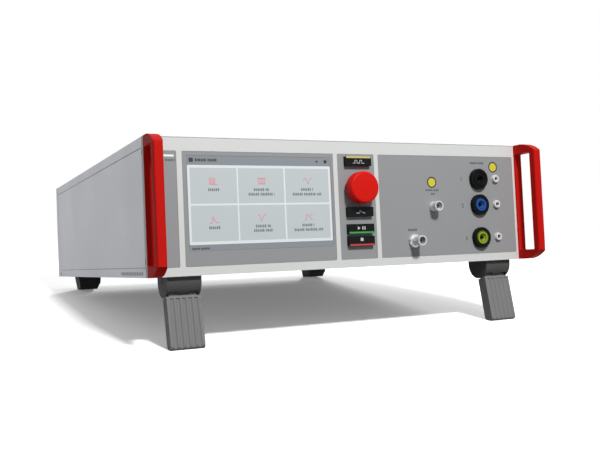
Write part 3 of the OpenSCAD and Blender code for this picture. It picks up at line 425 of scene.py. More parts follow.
class SURGE_OT_shell(bpy.types.Operator):
    """Frame, grey panels, sides, covers and rear frame"""
    bl_idname = "surge.shell"
    bl_label = "Case shell"

    # Edge radii
    PANEL_EDGE = 0.15
    COVER_EDGE = 0.2
    LIGHT_EDGE = 0.25
    SIDE_EDGE = 0.3
    # Seams along a side: heights, room at the front and back end, and depths below the side's face
    SEAM_HEIGHTS = ((9.15, 9.75), (122.75, 123.35))
    SEAM_ROOM = (6.5, 11.0)
    SEAM_BELOW = (0.75, 0.2)
    # Row of shallow slots in the lower band of a side, its start counted from the side's front end
    SLOTS = 14
    SLOT_HEIGHTS = (2.4, 5.6)
    SLOT_START = 13.5
    SLOT_LENGTH = 2.2
    SLOT_PITCH = 6.5
    SLOT_BELOW = (0.8, 0.4)
    # Thin shaded line along the frame: room at both ends, distances below its top, and depth
    LINE_ROOM = 10.0
    LINE_BELOW = (0.75, 0.2)
    LINE_DEPTH = (-0.02, 0.3)

    def execute(self, context):
        looks = context.scene.surge_case
        self.frames(looks)
        self.panels(looks)
        self.sides(looks)
        self.covers(looks)
        self.light_guide()
        self.seams()
        self.edge_line()
        return {"FINISHED"}

    def frames(self, looks):
        # Powder coat on cast aluminium: a dull sheen with a fine orange peel, a little coarser than real
        coat = surface("light_grey_powder_coat", looks.frame_paint, rough=(0.40, 0.50), grain=0.9,
                       bump=0.006, mottle=0.012, patch=60)
        round_nodes(coat, looks.frame_edge, "front_frame")
        # Pale satin anodising on the rear frame: broad soft sheen with no lines
        pale = surface("pale_anodised_aluminium", looks.rear_metal, rough=(0.46, 0.54), grain=0.30,
                       bump=0.002, metal=0.6, mottle=0.02, patch=70)
        round_nodes(pale, looks.frame_edge, "rear_frame")

    def panels(self, looks):
        # Printed polyester foil on a sheet: matt and even, with a very fine tooth that breaks reflections
        foil = surface("grey_printed_foil", looks.panel_foil, rough=(0.48, 0.56), grain=0.45, bump=0.004,
                       mottle=0.018, patch=80, speckle=0.02, gloss=0.2)
        round_nodes(foil, self.PANEL_EDGE, "strip_panel", "display_panel", "control_panel", "output_panel")

    def sides(self, looks):
        # Satin anodised extrusion: soft metal sheen with lines drawn along the case, 0.3 mm apart
        anodised = surface("satin_anodised_aluminium", looks.side_metal, rough=(0.33, 0.40), grain=0.30,
                           bump=0.002, metal=0.9, streak=(1, 0.012, 1), mottle=0.03, patch=90, speckle=0.02)
        round_nodes(anodised, self.SIDE_EDGE, "side_left", "side_right")

    def covers(self, looks):
        # Fine textured powder coat on the covers: light grey, even, with a soft broad sheen
        textured = surface("pale_textured_powder_coat", looks.cover_coat, rough=(0.52, 0.60), grain=0.8,
                           bump=0.008, mottle=0.015, patch=90, gloss=0.2, speckle=0.015)
        round_nodes(textured, self.COVER_EDGE, "top_cover", "bottom_cover", "rear_panel")

    def light_guide(self):
        # Frosted acrylic light guide: clear white, glows softly
        acrylic = surface("frosted_acrylic", "#e9efe9", rough=(0.30, 0.36), grain=0.4, bump=0.002, glow=0.1)
        round_nodes(acrylic, self.LIGHT_EDGE, "status_light")

    def seams(self):
        # Anodised ground of the seams and slots: darker than the sides, so that it reads as a thin shade
        ground = surface("shaded_anodised_aluminium", "#85888d", rough=(0.4, 0.5), grain=0.4, bump=0.002,
                         metal=0.9)
        half = span("side_right", "X")[1]
        y0, y1 = span("side_right", "Y")
        for side, name in ((-1, "left"), (1, "right")):
            seam_x = sorted(side * (half - below) for below in self.SEAM_BELOW)
            slot_x = sorted(side * (half - below) for below in self.SLOT_BELOW)
            bm = bmesh.new()
            for heights in self.SEAM_HEIGHTS:
                block(bm, (*seam_x, *heights), (y0 + self.SEAM_ROOM[0], y1 - self.SEAM_ROOM[1]))
            for count in range(self.SLOTS):
                start = y0 + self.SLOT_START + self.SLOT_PITCH * count
                block(bm, (*slot_x, *self.SLOT_HEIGHTS), (start, start + self.SLOT_LENGTH))
            place_piece("side_seams_" + name, bm, "case", ground)

    def edge_line(self):
        # The frame's powder coat where its edge turns out of the light: mid grey and matt
        shaded = surface("powder_coat_in_shade", "#8f9191", rough=(0.5, 0.6), grain=0.4, bump=0.002)
        x0, x1 = span("front_frame", "X")
        top = span("front_frame", "Z")[1]
        bm = bmesh.new()
        block(bm, (x0 + self.LINE_ROOM, x1 - self.LINE_ROOM, *(top - below for below in self.LINE_BELOW)),
              self.LINE_DEPTH)
        place_piece("frame_edge_line", bm, "case", shaded)


class SURGE_OT_handles(bpy.types.Operator):
    """Red handles at both ends of the front"""
    bl_idname = "surge.handles"
    bl_label = "Handles"

    def execute(self, context):
        looks = context.scene.surge_case
        # Powder coated aluminium: strong red with a satin gloss and a fine orange peel
        red = surface("red_powder_coat", looks.handle_red, rough=(0.46, 0.54), grain=0.9, bump=0.006,
                      mottle=0.02, patch=50, gloss=0.04)
        round_nodes(red, looks.handle_edge, "handle_left", "handle_right", segments=3)
        return {"FINISHED"}


class SURGE_OT_feet(bpy.types.Operator):
    """Foot housings, tilt legs and rear feet"""
    bl_idname = "surge.feet"
    bl_label = "Feet and legs"

    def execute(self, context):
        looks = context.scene.surge_case
        # Glass filled polyamide from an eroded mould: dark, matt, with a grain of about half a millimetre
        housing = surface("dark_grey_polyamide", looks.foot_grey, rough=(0.50, 0.60), grain=0.55, bump=0.02,
                          mottle=0.04, patch=15, speckle=0.03, gloss=0.12)
        # The same plastic in mid grey on the legs
        leg = surface("mid_grey_polyamide", looks.leg_grey, rough=(0.48, 0.58), grain=0.55, bump=0.02,
                      mottle=0.03, patch=15, speckle=0.03, gloss=0.12)
        # Moulded rubber: nearly black and dull
        rubber = surface("black_moulded_rubber", looks.rear_foot_black, rough=(0.60, 0.70), grain=0.6,
                         bump=0.015, mottle=0.06, patch=12, gloss=0.25)
        round_nodes(housing, looks.foot_edge, "foot_left", "foot_right")
        round_nodes(leg, looks.foot_edge, "leg_left", "leg_right")
        round_nodes(rubber, looks.foot_edge, "rear_feet")
        return {"FINISHED"}


class SURGE_OT_screen(bpy.types.Operator):
    """Lit screen with its tiles, waveforms and rows of small blocks"""
    bl_idname = "surge.screen"
    bl_label = "Screen picture"

    GLASS_EDGE = 0.1
    # Layers of the picture, from the back to the front
    GLASS_FACE = front("display_glass")
    FIELD_DEPTH = (GLASS_FACE - 0.02, GLASS_FACE + 0.05)
    TILE_DEPTH = (GLASS_FACE - 0.04, GLASS_FACE)
    LINE_DEPTH = (GLASS_FACE - 0.06, GLASS_FACE - 0.02)
    # White field, and left and right, bottom and top of its tiles
    FIELD = (-182.7, -28.9, 29.1, 105.7)
    FIELD_CORNER = 0.4
    COLUMNS = ((-180.3, -132.6), (-131.1, -82.1), (-80.4, -31.2))
    ROWS = ((68.5, 103.1), (32.0, 66.6))
    TILE_CORNER = 0.3
    # Middle of each tile's waveform, and the points of its lines from there
    MIDDLES = ((-157.0, 90.1), (-106.3, 90.2), (-55.3, 90.7), (-157.4, 52.6), (-107.3, 54.0), (-56.0, 53.8))
    WAVES = (
        [[(u, -3), (u, 3.2)] for u in (-3.8, -2.4, -1.0, 0.4, 1.8)] + [[(-3.8, -3), (4.6, -3)]],
        [[(-4, 2.8), (4, 2.8)], *([(u, 2.8), (u, -2.8)] for u in (-3.2, -1.6, 0, 1.6, 3.2)),
         [(-3.2, -2.8), (3.2, -2.8)]],
        [[(-5, 0.6), (-3.4, 2.8), (-1.6, 1.6), (0.6, -3.4), (2.6, 1.4), (4.6, 3.2)]],
        [[(-4.6, -3), (-2.4, -3), (-1.2, 3.4), (0.6, -0.6), (2.6, -2.4), (5, -3)]],
        [[(-3.8, 3), (-2.8, 3), (-0.8, -3), (1.2, 0.4), (2.8, 3), (4.2, 3)]],
        [[(-4.4, -3), (-2.6, -3), (-1.4, 3.2), (0.2, 0.4)], [(4.4, 3), (1.6, 0.6), (2.6, -1), (4.6, -3)]],
    )
    # Left end, right end and middle height of each row of blocks in the tiles, and how tall they are
    TILE_ROWS = ((-162.3, -150.5, 81.9), (-114.9, -98.8, 81.8), (-120.5, -92.6, 77.3), (-63.0, -49.4, 81.9),
                 (-72.5, -40.2, 77.1), (-162.7, -151.0, 45.1), (-114.3, -98.1, 45.7), (-116.4, -95.6, 41.4),
                 (-63.2, -49.7, 45.6), (-72.4, -40.0, 41.0))
    TILE_ROW_HEIGHT = 2.8
    # Marks above and below the field: rows with their height, squares, and a dot
    MARK_ROWS = ((-174.6, -152.0, 110.6, 2.8), (-180.3, -163.0, 25.5, 1.9))
    SQUARES = ((-180.7, -176.5, 108.5, 112.7), (-45.0, -43.0, 109.5, 111.5))
    SQUARE_CORNER = 0.4
    DOT = (-34.1, 110.5)
    DOT_R = 1.9
    # Shared by the parts of the lit picture: smooth cover foil in front of a very weak glow
    LIT = {"rough": (0.32, 0.38), "grain": 0.3, "bump": 0.001, "glow": 0.03, "gloss": 0.25}
    COVER = LIT | {"rough": (0.30, 0.36)}
    UNLIT = LIT | {"glow": 0.0, "gloss": 0.2}

    def execute(self, context):
        looks = context.scene.surge_front
        # Hard coated cover foil over the lit panel: cool grey, smooth, with a soft shine
        cover = surface("coated_screen_cover", looks.header, **self.COVER, mottle=0.03, patch=90)
        round_nodes(cover, self.GLASS_EDGE, "display_glass")
        self.tiles(looks)
        self.waveforms(looks)
        self.rows(looks)
        self.header_marks(looks)
        return {"FINISHED"}

    def tiles(self, looks):
        # Lit screen white: bright and even
        white = surface("lit_screen_white", looks.field, **self.LIT, mottle=0.008, patch=120)
        bm = bmesh.new()
        block(bm, self.FIELD, self.FIELD_DEPTH, self.FIELD_CORNER)
        place_piece("screen_field", bm, "case", white)
        # Lit screen tiles: a step greyer than the field round them
        tile = surface("lit_screen_tile", looks.tile, **self.LIT, mottle=0.015, patch=70)
        bm = bmesh.new()
        for row in self.ROWS:
            for column in self.COLUMNS:
                block(bm, (*column, *row), self.TILE_DEPTH, self.TILE_CORNER)
        place_piece("screen_tiles", bm, "case", tile)

    def waveforms(self, looks):
        # Lit screen rose: pale thin lines
        rose = surface("lit_screen_rose", looks.waveform, **self.LIT, mottle=0.02, patch=10)
        bm = bmesh.new()
        for (x, z), lines in zip(self.MIDDLES, self.WAVES):
            for line in lines:
                stroke(bm, [(x + u, z + v) for u, v in line], looks.waveform_line, self.LINE_DEPTH)
        place_piece("screen_waveforms", bm, "case", rose)

    def rows(self, looks):
        # Lit screen grey: quiet marks a shade darker than the tiles
        grey = surface("lit_screen_grey", looks.tile_blocks, **self.LIT, mottle=0.04, patch=10)
        bm = bmesh.new()
        for x0, x1, z in self.TILE_ROWS:
            row_of_blocks(bm, x0, x1, z, self.TILE_ROW_HEIGHT, self.LINE_DEPTH)
        place_piece("screen_captions", bm, "case", grey)

    def header_marks(self, looks):
        # Unlit parts of the screen picture: dark grey behind the cover foil
        dark = surface("unlit_screen_dark", looks.header_marks, **self.UNLIT, mottle=0.04, patch=10)
        bm = bmesh.new()
        for x0, x1, z, height in self.MARK_ROWS:
            row_of_blocks(bm, x0, x1, z, height, self.TILE_DEPTH)
        for square in self.SQUARES:
            block(bm, square, self.TILE_DEPTH, self.SQUARE_CORNER)
        disc(bm, *self.DOT, self.TILE_DEPTH, self.DOT_R)
        place_piece("screen_header_marks", bm, "case", dark)


class SURGE_OT_keys(bpy.types.Operator):
    """Keys with their symbols and coloured bars, and the dial"""
    bl_idname = "surge.keys"
    bl_label = "Keys and dial"

    # Edge radii
    KEY_EDGE = 0.35
    BAR_EDGE = 0.12
    DIAL_EDGE = 0.25
    KEY_FACE = front("key_test")
    SYMBOL_DEPTH = (KEY_FACE - 0.04, KEY_FACE + 0.05)
    # All symbols are counted from the middle of their keys: corners of the pulse train and the single pulse
    PULSE_TRAIN = ((-6.8, -2.2), (-4.4, -2.2), (-4.4, 0.8), (-1.8, 0.8), (-1.8, -2.2), (1.4, -2.2),
                   (1.4, 0.8), (4, 0.8), (4, -2.2), (6.8, -2.2))
    SINGLE_PULSE = ((-5, -1.5), (-1.6, -1.5), (-0.8, 1.6), (0.8, -0.1), (2.6, -1.2), (5, -1.5))
    # Start: middle and radius of a triangle, and two upright bars
    START_AT = (-3.4, 0.7)
    START_R = 2.1
    PAUSE_BARS = ((0.9, 2.1, -1.0, 2.4), (3.5, 4.7, -1.0, 2.4))
    # Stop: a square
    STOP = (-1.6, 1.6, 0.0, 3.2)

    def execute(self, context):
        looks = context.scene.surge_front
        # Moulded ABS with a polished face: deep black with a soft gloss
        black = surface("black_polished_abs", looks.key_black, rough=(0.22, 0.30), grain=0.5, bump=0.002,
                        mottle=0.05, patch=20, gloss=0.1)
        round_nodes(black, self.KEY_EDGE, "key_test", "key_pulse", "key_start", "key_stop")
        # Tinted acrylic strips let into the keys: smooth, with a faint glow of their own
        for bar, name, colour in (("bar_test", "yellow_acrylic_strip", looks.bar_yellow),
                                  ("bar_start", "green_acrylic_strip", looks.bar_green),
                                  ("bar_stop", "red_acrylic_strip", looks.bar_red)):
            strip = surface(name, colour, rough=(0.22, 0.28), grain=0.4, bump=0.001, glow=0.12)
            round_nodes(strip, self.BAR_EDGE, bar)
        # Moulded ABS with a satin face: strong even red
        red = surface("red_satin_abs", looks.dial_red, rough=(0.40, 0.46), grain=0.6, bump=0.003,
                      mottle=0.02, patch=25, gloss=0.08)
        round_nodes(red, self.DIAL_EDGE, "knob")
        self.symbols(looks)
        return {"FINISHED"}

    def symbols(self, looks):
        # Pad printed ink: light grey, flat
        ink = surface("light_key_ink", looks.key_symbol, rough=(0.45, 0.5), grain=0.3, bump=0.001)
        for key, points in (("test", self.PULSE_TRAIN), ("pulse", self.SINGLE_PULSE)):
            bm = bmesh.new()
            stroke(bm, points, looks.symbol_line, self.SYMBOL_DEPTH)
            self.place_symbol(key, bm, ink)
        bm = bmesh.new()
        disc(bm, 0, 0, self.SYMBOL_DEPTH, self.START_R, segments=3)
        u, v = self.START_AT
        bm.transform(Matrix.Translation((u, 0, v)) @ Matrix.Rotation(math.radians(90), 4, "Y"))
        for bar in self.PAUSE_BARS:
            block(bm, bar, self.SYMBOL_DEPTH)
        self.place_symbol("start", bm, ink)
        bm = bmesh.new()
        block(bm, self.STOP, self.SYMBOL_DEPTH)
        self.place_symbol("stop", bm, ink)

    def place_symbol(self, key, bm, ink):
        """Moves a symbol to the middle of its key and makes it a piece."""
        x, z = middle("key_" + key)
        bm.transform(Matrix.Translation((x, 0, z)))
        place_piece(key + "_symbol", bm, key + "_key", ink)


class SURGE_OT_sockets(bpy.types.Operator):
    """Safety sockets, small sockets and coaxial jacks"""
    bl_idname = "surge.sockets"
    bl_label = "Sockets and jacks"

    # Edge radii
    COLLAR_EDGE = 0.3
    INSERT_EDGE = 0.25
    JACK_EDGE = 0.2
    CORE_EDGE = 0.15
    # Grooves between the rings of a large socket: depth behind the collar's face, radius and bead radius
    COLLAR_FACE = front("line_socket")
    GROOVES = ((0.3, 4.5, 0.4), (0.25, 7.1, 0.55))
    # Plain barrel between the panel and the head of the middle jack
    BARREL_DEPTH = (-6.0, -0.4)
    BARREL_R = 5.4
    # Shared by the moulded plastics and by the plated metals: grain, its depth, and patches of uneven tone
    PLASTIC = {"grain": 0.5, "bump": 0.004, "patch": 10}
    PLATE = {"grain": 0.25, "bump": 0.001, "patch": 6}

    def execute(self, context):
        self.plastics()
        self.jacks()
        self.contacts()
        self.grooves()
        self.barrel()
        return {"FINISHED"}

    def plastics(self):
        # Moulded polyamide sockets: black with a soft gloss
        black = surface("black_moulded_polyamide", "#0e0f10", rough=(0.34, 0.42), **self.PLASTIC,
                        mottle=0.05, gloss=0.07)
        round_nodes(black, self.COLLAR_EDGE, "line_socket", "neutral_socket", "earth_socket")
        # Coloured inserts of the same plastic, a little smoother and brighter
        for node, name, colour in (("neutral_insert", "blue_moulded_polyamide", "#2657a0"),
                                   ("earth_insert", "yellow_green_moulded_polyamide", "#93a62c")):
            insert = surface(name, colour, rough=(0.30, 0.38), **self.PLASTIC, mottle=0.03, gloss=0.15)
            round_nodes(insert, self.INSERT_EDGE, node)
        # Small sockets of the same plastic: white and a little glossier
        white = surface("white_moulded_polyamide", "#dcdddb", rough=(0.32, 0.38), grain=0.5, bump=0.003,
                        mottle=0.01, patch=10)
        round_nodes(white, self.COLLAR_EDGE, "sense_sockets")

    def jacks(self):
        # Bead blasted nickel plate: silver white, nearly matt, with a sheen that doesn't mirror the panel
        satin = surface("satin_nickel_plate", "#cecfd1", rough=(0.42, 0.50), **self.PLATE, metal=0.25,
                        mottle=0.02)
        # The same plate with a brighter, smoother shine on the nut
        bright = surface("bright_nickel_plate", "#dcddde", rough=(0.28, 0.34), **self.PLATE, metal=0.6,
                         mottle=0.01)
        # Waxy insulating plastic in the jacks, painted dark grey as the shade in their bores
        waxy = surface("insulator_in_painted_shade", "#66686b", rough=(0.38, 0.44), grain=0.5, bump=0.003,
                       mottle=0.015, patch=8, gloss=0.15)
        round_nodes(satin, self.JACK_EDGE, "hv_jack", "signal_jack")
        round_nodes(bright, self.JACK_EDGE, "signal_nut")
        round_nodes(waxy, self.CORE_EDGE, "jack_cores")

    def contacts(self):
        # Turned brass contacts, painted dark: painted shade of the deep holes and recesses they sit in
        brass = surface("turned_brass_in_painted_shade", "#5c5138", rough=(0.34, 0.44), grain=0.25, bump=0.001,
                        metal=1.0, mottle=0.04, patch=5)
        finish_nodes(brass, "socket_contacts", "inlet_pins")

    def grooves(self):
        # The polyamides in the shade of the grooves: the same hues, much darker and matt
        for node, name, colour in (("line_socket", "black_polyamide_in_shade", "#060607"),
                                   ("neutral_insert", "blue_polyamide_in_shade", "#16356b"),
                                   ("earth_insert", "yellow_green_polyamide_in_shade", "#56641a")):
            shaded = surface(name, colour, rough=(0.5, 0.6), grain=0.5, bump=0.002, gloss=0.1)
            x, z = middle(node)
            bm = bmesh.new()
            for depth, r, wire in self.GROOVES:
                ring(bm, x, self.COLLAR_FACE + depth, z, r, wire)
            place_piece(node + "_grooves", bm, "case", shaded)

    def barrel(self):
        # Nickel plate like the jack's, painted much paler and quite matt: painted light, so the barrel
        # stays light in the shade of the jack's head
        pale = surface("nickel_plate_with_painted_light", "#eff0f1", rough=(0.48, 0.56), **self.PLATE, metal=0.1,
                       mottle=0.02)
        bm = bmesh.new()
        disc(bm, *middle("hv_jack"), self.BARREL_DEPTH, self.BARREL_R)
        place_piece("hv_jack_barrel", bm, "case", pale)


class SURGE_OT_marks(bpy.types.Operator):
    """Plain marks on the grey panels: socket numbers, rows of small blocks and yellow discs"""
    bl_idname = "surge.marks"
    bl_label = "Front marks"

    PANEL_FACE = front("output_panel")
    INK_DEPTH = (PANEL_FACE - 0.03, PANEL_FACE + 0.03)
    YELLOW_DEPTH = (PANEL_FACE - 0.05, PANEL_FACE + 0.03)
    # Left end, right end, middle height and block height of each row of blocks
    ROWS = ((151.5, 171.2, 111.4, 2.4), (89.2, 106.6, 80.7, 2.2), (95.8, 101.2, 76.6, 2.2),
            (64.0, 76.0, 37.5, 2.8), (-204.0, -193.5, 110.1, 2.0))
    # Middles of the discs and the width of their dark rim
    DISCS = ((97.8, 89.4), (183.8, 107.0))
    RIM = 1.5
    # Middles of the socket numbers, from the top, and their height, boldness and merge distance
    NUMBERS = ((138, 93.1), (138.5, 62.8), (141.5, 25.9))
    FIGURE_HEIGHT = 6.0
    FIGURE_WEIGHT = 0.12
    FIGURE_MERGE = 0.001

    def execute(self, context):
        looks = context.scene.surge_front
        # Screen printed inks on the foil: flat and matt, with hardly any thickness
        grey = surface("grey_screen_ink", looks.print_grey, rough=(0.5, 0.56), grain=0.4, bump=0.001)
        dark = surface("dark_screen_ink", looks.rim_dark, rough=(0.5, 0.56), grain=0.4, bump=0.001)
        yellow = surface("yellow_screen_ink", looks.disc_yellow, rough=(0.45, 0.52), grain=0.4, bump=0.001)
        bm = bmesh.new()
        for x0, x1, z, height in self.ROWS:
            row_of_blocks(bm, x0, x1, z, height, self.INK_DEPTH)
        place_piece("panel_captions", bm, "case", grey)
        r = looks.disc_d / 2
        self.discs("disc_rims", self.INK_DEPTH, r, dark, "panel_grey")
        self.discs("yellow_discs", self.YELLOW_DEPTH, r - self.RIM, yellow, "bar_yellow")
        for count, (x, z) in enumerate(self.NUMBERS, start=1):
            self.figure(str(count), x, z, grey)
        return {"FINISHED"}

    def discs(self, name, depth, r, ink, slot):
        """One printed layer of the discs."""
        bm = bmesh.new()
        for x, z in self.DISCS:
            disc(bm, x, z, depth, r)
        place_piece(name, bm, "case", ink)

    def figure(self, text, x, z, ink):
        """One socket number, from a text curve that is made a mesh before it is placed."""
        y0, y1 = self.INK_DEPTH
        curve = bpy.data.curves.new("number_" + text, "FONT")
        curve.body = text
        curve.size = self.FIGURE_HEIGHT
        curve.offset = self.FIGURE_WEIGHT
        curve.extrude = (y1 - y0) / 2
        curve.align_x = "CENTER"
        curve.align_y = "CENTER"
        holder = place_object("number_" + text, curve)
        bpy.context.view_layer.update()
        bm = bmesh.new()
        bm.from_mesh(holder.evaluated_get(bpy.context.evaluated_depsgraph_get()).to_mesh())
        bpy.data.objects.remove(holder)
        bmesh.ops.remove_doubles(bm, verts=bm.verts, dist=self.FIGURE_MERGE)
        bm.transform(Matrix.Translation((x, (y0 + y1) / 2, z)) @ Matrix.Rotation(math.radians(90), 4, "X"))
        place_piece("socket_number_" + text, bm, "case", ink)


class SURGE_OT_rear(bpy.types.Operator):
    """Fan, inlets, screws and other parts of the rear side"""
    bl_idname = "surge.rear"
    bl_label = "Rear side"

    # Edge radii
    INLET_EDGE = 0.3
    ROCKER_EDGE = 0.4
    FAN_EDGE = 0.3

    def execute(self, context):
        # Moulded black plastic of the inlets: softly glossy with an uneven tone
        inlet = surface("black_inlet_plastic", "#232427", rough=(0.36, 0.46), grain=0.5, bump=0.006,
                        mottle=0.05, patch=12)
        round_nodes(inlet, self.INLET_EDGE, "mains_inlet", "eut_inlet", "fuse_drawer")
        # Polished plastic of the switch rocker: blacker, with a clear shine
        rocker = surface("black_rocker_plastic", "#17181a", rough=(0.22, 0.30), grain=0.4, bump=0.002,
                         mottle=0.04, patch=10)
        round_nodes(rocker, self.ROCKER_EDGE, "mains_rocker")
        # Glass filled plastic of the fan: dull black with a light grain
        fan = surface("black_fan_plastic", "#232528", rough=(0.40, 0.50), grain=0.5, bump=0.008,
                      mottle=0.05, patch=12)
        round_nodes(fan, self.FAN_EDGE, "fan_frame", "fan_rotor")
        # Zinc plated steel: bright grey with fine turning marks
        zinc = surface("zinc_plated_steel", "#b9bcc0", rough=(0.26, 0.36), grain=0.25, bump=0.001,
                       metal=1.0, mottle=0.04, patch=5)
        finish_nodes(zinc, "handle_screws", "case_screws", "frame_screws", "foot_screws", "encoder")
        # Steel pins with a black oxide skin: dark, with a dull metal sheen
        oxide = surface("black_oxide_steel", "#3c3d3f", rough=(0.40, 0.50), grain=0.4, bump=0.001,
                        metal=1.0, mottle=0.04, patch=4)
        finish_nodes(oxide, "leg_pins")
        return {"FINISHED"}


class SURGE_OT_inside(bpy.types.Operator):
    """Boards, transformer, capacitors and supply inside the case"""
    bl_idname = "surge.inside"
    bl_label = "Inside"

    def execute(self, context):
        finish_nodes(board_material("green_circuit_board"), "key_board", "main_board")
        # Black coated steel back of the screen: flat and dull
        coated = surface("black_coated_steel", "#30343a", rough=(0.4, 0.5), grain=0.6, bump=0.004,
                         mottle=0.05)
        finish_nodes(coated, "display_module")
        # Galvanised sheet: grey metal with cloudy spangle
        galvanised = surface("galvanised_steel", "#aeb2b4", rough=(0.34, 0.52), grain=2.5, bump=0.002,
                             metal=0.8, mottle=0.08, patch=9)
        finish_nodes(galvanised, "chassis_plate", "power_supply")
        # Shrink sleeve over the capacitor cans: smooth glossy blue, a little wavy
        sleeve = surface("blue_shrink_sleeve", "#3a5a86", rough=(0.24, 0.34), grain=1.5, bump=0.01,
                         mottle=0.04, patch=20)
        finish_nodes(sleeve, "capacitor_bank")
        # Stacked iron sheets 0.5 mm thick under varnish: dark metal with fine straight lines
        iron = ribbed("varnished_iron_sheets", "#3e4044", "#62656a", pitch=0.5, axis="Y", rough=0.42,
                      bump=0.03, metal=0.6)
        finish_nodes(iron, "transformer_core")
        # Enamelled wire 1 mm thick, wound round the core's middle: copper brown with round ribs
        wire = ribbed("enamelled_copper_wire", "#7c4420", "#b9713a", pitch=1.0, axis="Z", rough=0.3,
                      bump=0.2, metal=0.7)
        finish_nodes(wire, "transformer_coil")
        return {"FINISHED"}


class SURGE_OT_stage(bpy.types.Operator):
    """Floor, surroundings, lamps and the camera at the photograph's place"""
    bl_idname = "surge.stage"
    bl_label = "Studio"

    # Lamps: side of the square, its place and the point it faces, in metres
    KEY_LAMP = {"size": 0.24, "place": (-0.02, -1.58, 1.54), "target": (0, -0.2, 0.1)}
    REAR_LAMP = {"size": 0.30, "place": (1.05, 1.75, 0.40), "target": (0, 0, 0.05)}
    # Floor: how far the paper goes, and where it starts to turn and has turned plain white, in metres
    PAPER_REACH = 6.0
    PAPER_PARTS = 8
    FADE = (0.45, 1.5)
    # Size and depth of the paper's tooth, in millimetres
    TOOTH = 1.5
    TOOTH_DEPTH = 0.01
    # Brightness and own light of the paper, as the camera sees it and as metal and glass mirror it
    SEEN_PAPER = (1.6, 0.18)
    MIRRORED_PAPER = (1.0, 0.1)
    FLOOR_GREY = "#7a7a7a"
    # Camera: width of its sensor in millimetres, of the picture in pixels, and nearest distance in metres
    SENSOR = 36.0
    PICTURE = 600
    NEAREST = 0.01

    def execute(self, context):
        looks = context.scene.surge_stage
        self.floor()
        self.surroundings(context, looks)
        self.lamp("key_lamp", looks.key_power, **self.KEY_LAMP)
        # The rear lamp stays out of the reflections, so that it leaves no glare on the covers and sides
        self.lamp("rear_lamp", looks.rear_power, **self.REAR_LAMP).visible_glossy = False
        self.camera(context, looks)
        context.scene.view_settings.view_transform = "Standard"
        return {"FINISHED"}

    def floor(self):
        """White paper that keeps its shadow and turns plain white far out. It lights the object as a grey
        floor would, so faces turned away from the lamps stay dark."""
        material, tree, place = start_material("white_paper_floor")
        spot = add(tree, "ShaderNodeTexCoord").outputs["Object"]
        apart = add(tree, "ShaderNodeVectorMath", {0: spot}, operation="LENGTH").outputs["Value"]
        fade = add(tree, "ShaderNodeMapRange", {"Value": apart},
                   {"From Min": self.FADE[0], "From Max": self.FADE[1]},
                   interpolation_type="SMOOTHSTEP").outputs["Result"]
        tooth = add(tree, "ShaderNodeTexNoise", {"Vector": place}, {"Scale": 1 / self.TOOTH, "Detail": 2.0})
        relief = add(tree, "ShaderNodeBump", {"Height": tooth.outputs["Fac"]},
                     {"Distance": self.TOOTH_DEPTH * MM}).outputs["Normal"]
        white = add(tree, "ShaderNodeEmission", None, {"Color": WHITE, "Strength": 1.0}).outputs["Emission"]

        def paper(brightness, own_light):
            """Lit paper with a little light of its own, plain white far out."""
            lit = add(tree, "ShaderNodeBsdfDiffuse", {"Normal": relief}, {"Color": (*[brightness] * 3, 1)})
            own = add(tree, "ShaderNodeEmission", None, {"Color": WHITE, "Strength": own_light})
            both = add(tree, "ShaderNodeAddShader", {0: lit.outputs["BSDF"], 1: own.outputs["Emission"]})
            return add(tree, "ShaderNodeMixShader",
                       {"Fac": fade, 1: both.outputs["Shader"], 2: white}).outputs["Shader"]

        grey = add(tree, "ShaderNodeBsdfDiffuse", {"Normal": relief}, {"Color": linear(self.FLOOR_GREY)})
        rays = add(tree, "ShaderNodeLightPath").outputs
        mirror = add(tree, "ShaderNodeMath", {0: rays["Is Glossy Ray"], 1: rays["Is Transmission Ray"]},
                     operation="MAXIMUM").outputs["Value"]
        unseen = add(tree, "ShaderNodeMixShader",
                     {"Fac": mirror, 1: grey.outputs["BSDF"], 2: paper(*self.MIRRORED_PAPER)})
        sheet = add(tree, "ShaderNodeMixShader",
                    {"Fac": rays["Is Camera Ray"], 1: unseen.outputs["Shader"], 2: paper(*self.SEEN_PAPER)})
        close_material(tree, sheet.outputs["Shader"])
        bm = bmesh.new()
        bmesh.ops.create_grid(bm, x_segments=self.PAPER_PARTS, y_segments=self.PAPER_PARTS,
                              size=self.PAPER_REACH)
        mesh = bpy.data.meshes.new("floor")
        bm.to_mesh(mesh)
        bm.free()
        floor = place_object("floor", mesh)
        wear(mesh, material)

    def surroundings(self, context, looks):
        """Even pale light all round; the camera, metal and glass see plain white."""
        world = bpy.data.worlds.new("pale_surroundings")
        world.use_nodes = True
        tree = world.node_tree
        tree.nodes.clear()
        rays = add(tree, "ShaderNodeLightPath").outputs
        opaque = add(tree, "ShaderNodeMath", {0: rays["Is Camera Ray"], 1: rays["Is Glossy Ray"]},
                     operation="MAXIMUM").outputs["Value"]
        seen = add(tree, "ShaderNodeMath", {0: opaque, 1: rays["Is Transmission Ray"]},
                   operation="MAXIMUM").outputs["Value"]
        even = add(tree, "ShaderNodeBackground", None, {"Color": WHITE, "Strength": looks.sky})
        white = add(tree, "ShaderNodeBackground", None, {"Color": WHITE, "Strength": 1.0})
        mixed = add(tree, "ShaderNodeMixShader",
                    {"Fac": seen, 1: even.outputs["Background"], 2: white.outputs["Background"]})
        add(tree, "ShaderNodeOutputWorld", {"Surface": mixed.outputs["Shader"]})
        context.scene.world = world

    def lamp(self, name, power, size, place, target):
        """A square soft lamp that looks at a target and stays out of the picture."""
        light = bpy.data.lights.new(name, "AREA")
        light.energy = power
        light.size = size
        holder = place_object(name, light)
        holder.location = place
        holder.rotation_euler = (Vector(target) - Vector(place)).to_track_quat("-Z", "Y").to_euler()
        holder.visible_camera = False
        return holder

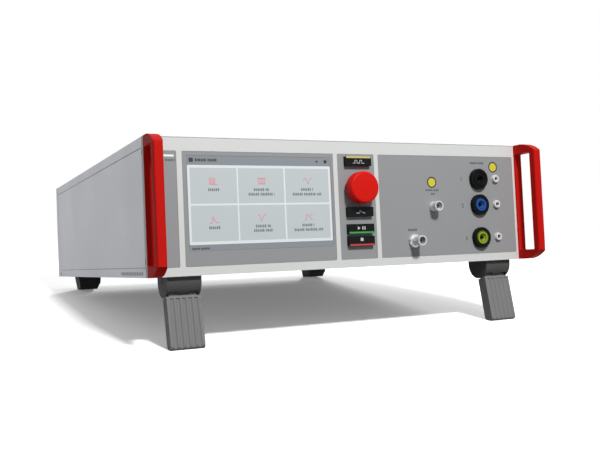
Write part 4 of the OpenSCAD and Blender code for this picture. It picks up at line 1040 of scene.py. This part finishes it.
    def camera(self, context, looks):
        """The camera from its place, turn and focal length in the case's own millimetres."""
        turn = (Matrix.Rotation(math.radians(looks.camera_yaw), 3, "Z")
                @ Matrix.Rotation(math.radians(looks.camera_pitch), 3, "X")
                @ Matrix.Rotation(math.radians(looks.camera_roll), 3, "Y"))
        case_turn = Matrix.Rotation(-CASE_TILT, 3, "X")
        right, forward, up = (case_turn @ turn.col[i] for i in range(3))
        data = bpy.data.cameras.new("photo_camera")
        data.sensor_width = self.SENSOR
        data.lens = looks.camera_focus / self.PICTURE * self.SENSOR
        data.clip_start = self.NEAREST
        holder = place_object("photo_camera", data)
        place = Matrix((right, up, -forward)).transposed().to_4x4()
        place.translation = CASE @ Vector(looks.camera_at)
        holder.matrix_world = place
        context.scene.camera = holder


class SURGE_PT_panel(bpy.types.Panel):
    """Lists the pieces and their sizes and colours"""
    bl_idname = "SURGE_PT_panel"
    bl_label = "Surge generator"
    bl_space_type = "VIEW_3D"
    bl_region_type = "UI"
    bl_category = "Surge generator"

    def draw(self, context):
        for step in STEPS:
            self.layout.operator(step.bl_idname)
        for group in GROUPS:
            looks = getattr(context.scene, group)
            for name in looks.bl_rna.properties.keys():
                if name not in ("rna_type", "name"):
                    self.layout.prop(looks, name)


GROUPS = {"surge_case": CaseLooks, "surge_front": FrontLooks, "surge_stage": StageLooks}
STEPS = (SURGE_OT_stage, SURGE_OT_shell, SURGE_OT_handles, SURGE_OT_feet, SURGE_OT_screen, SURGE_OT_keys,
         SURGE_OT_sockets, SURGE_OT_marks, SURGE_OT_rear, SURGE_OT_inside)


def register():
    for name, group in GROUPS.items():
        bpy.utils.register_class(group)
        setattr(bpy.types.Scene, name, PointerProperty(type=group))
    for step in STEPS:
        bpy.utils.register_class(step)
    bpy.utils.register_class(SURGE_PT_panel)


def unregister():
    bpy.utils.unregister_class(SURGE_PT_panel)
    for step in reversed(STEPS):
        bpy.utils.unregister_class(step)
    for name, group in reversed(GROUPS.items()):
        delattr(bpy.types.Scene, name)
        bpy.utils.unregister_class(group)


def main():
    register()
    for step in STEPS:
        family, name = step.bl_idname.split(".")
        getattr(getattr(bpy.ops, family), name)()


if __name__ == "__main__":
    main()
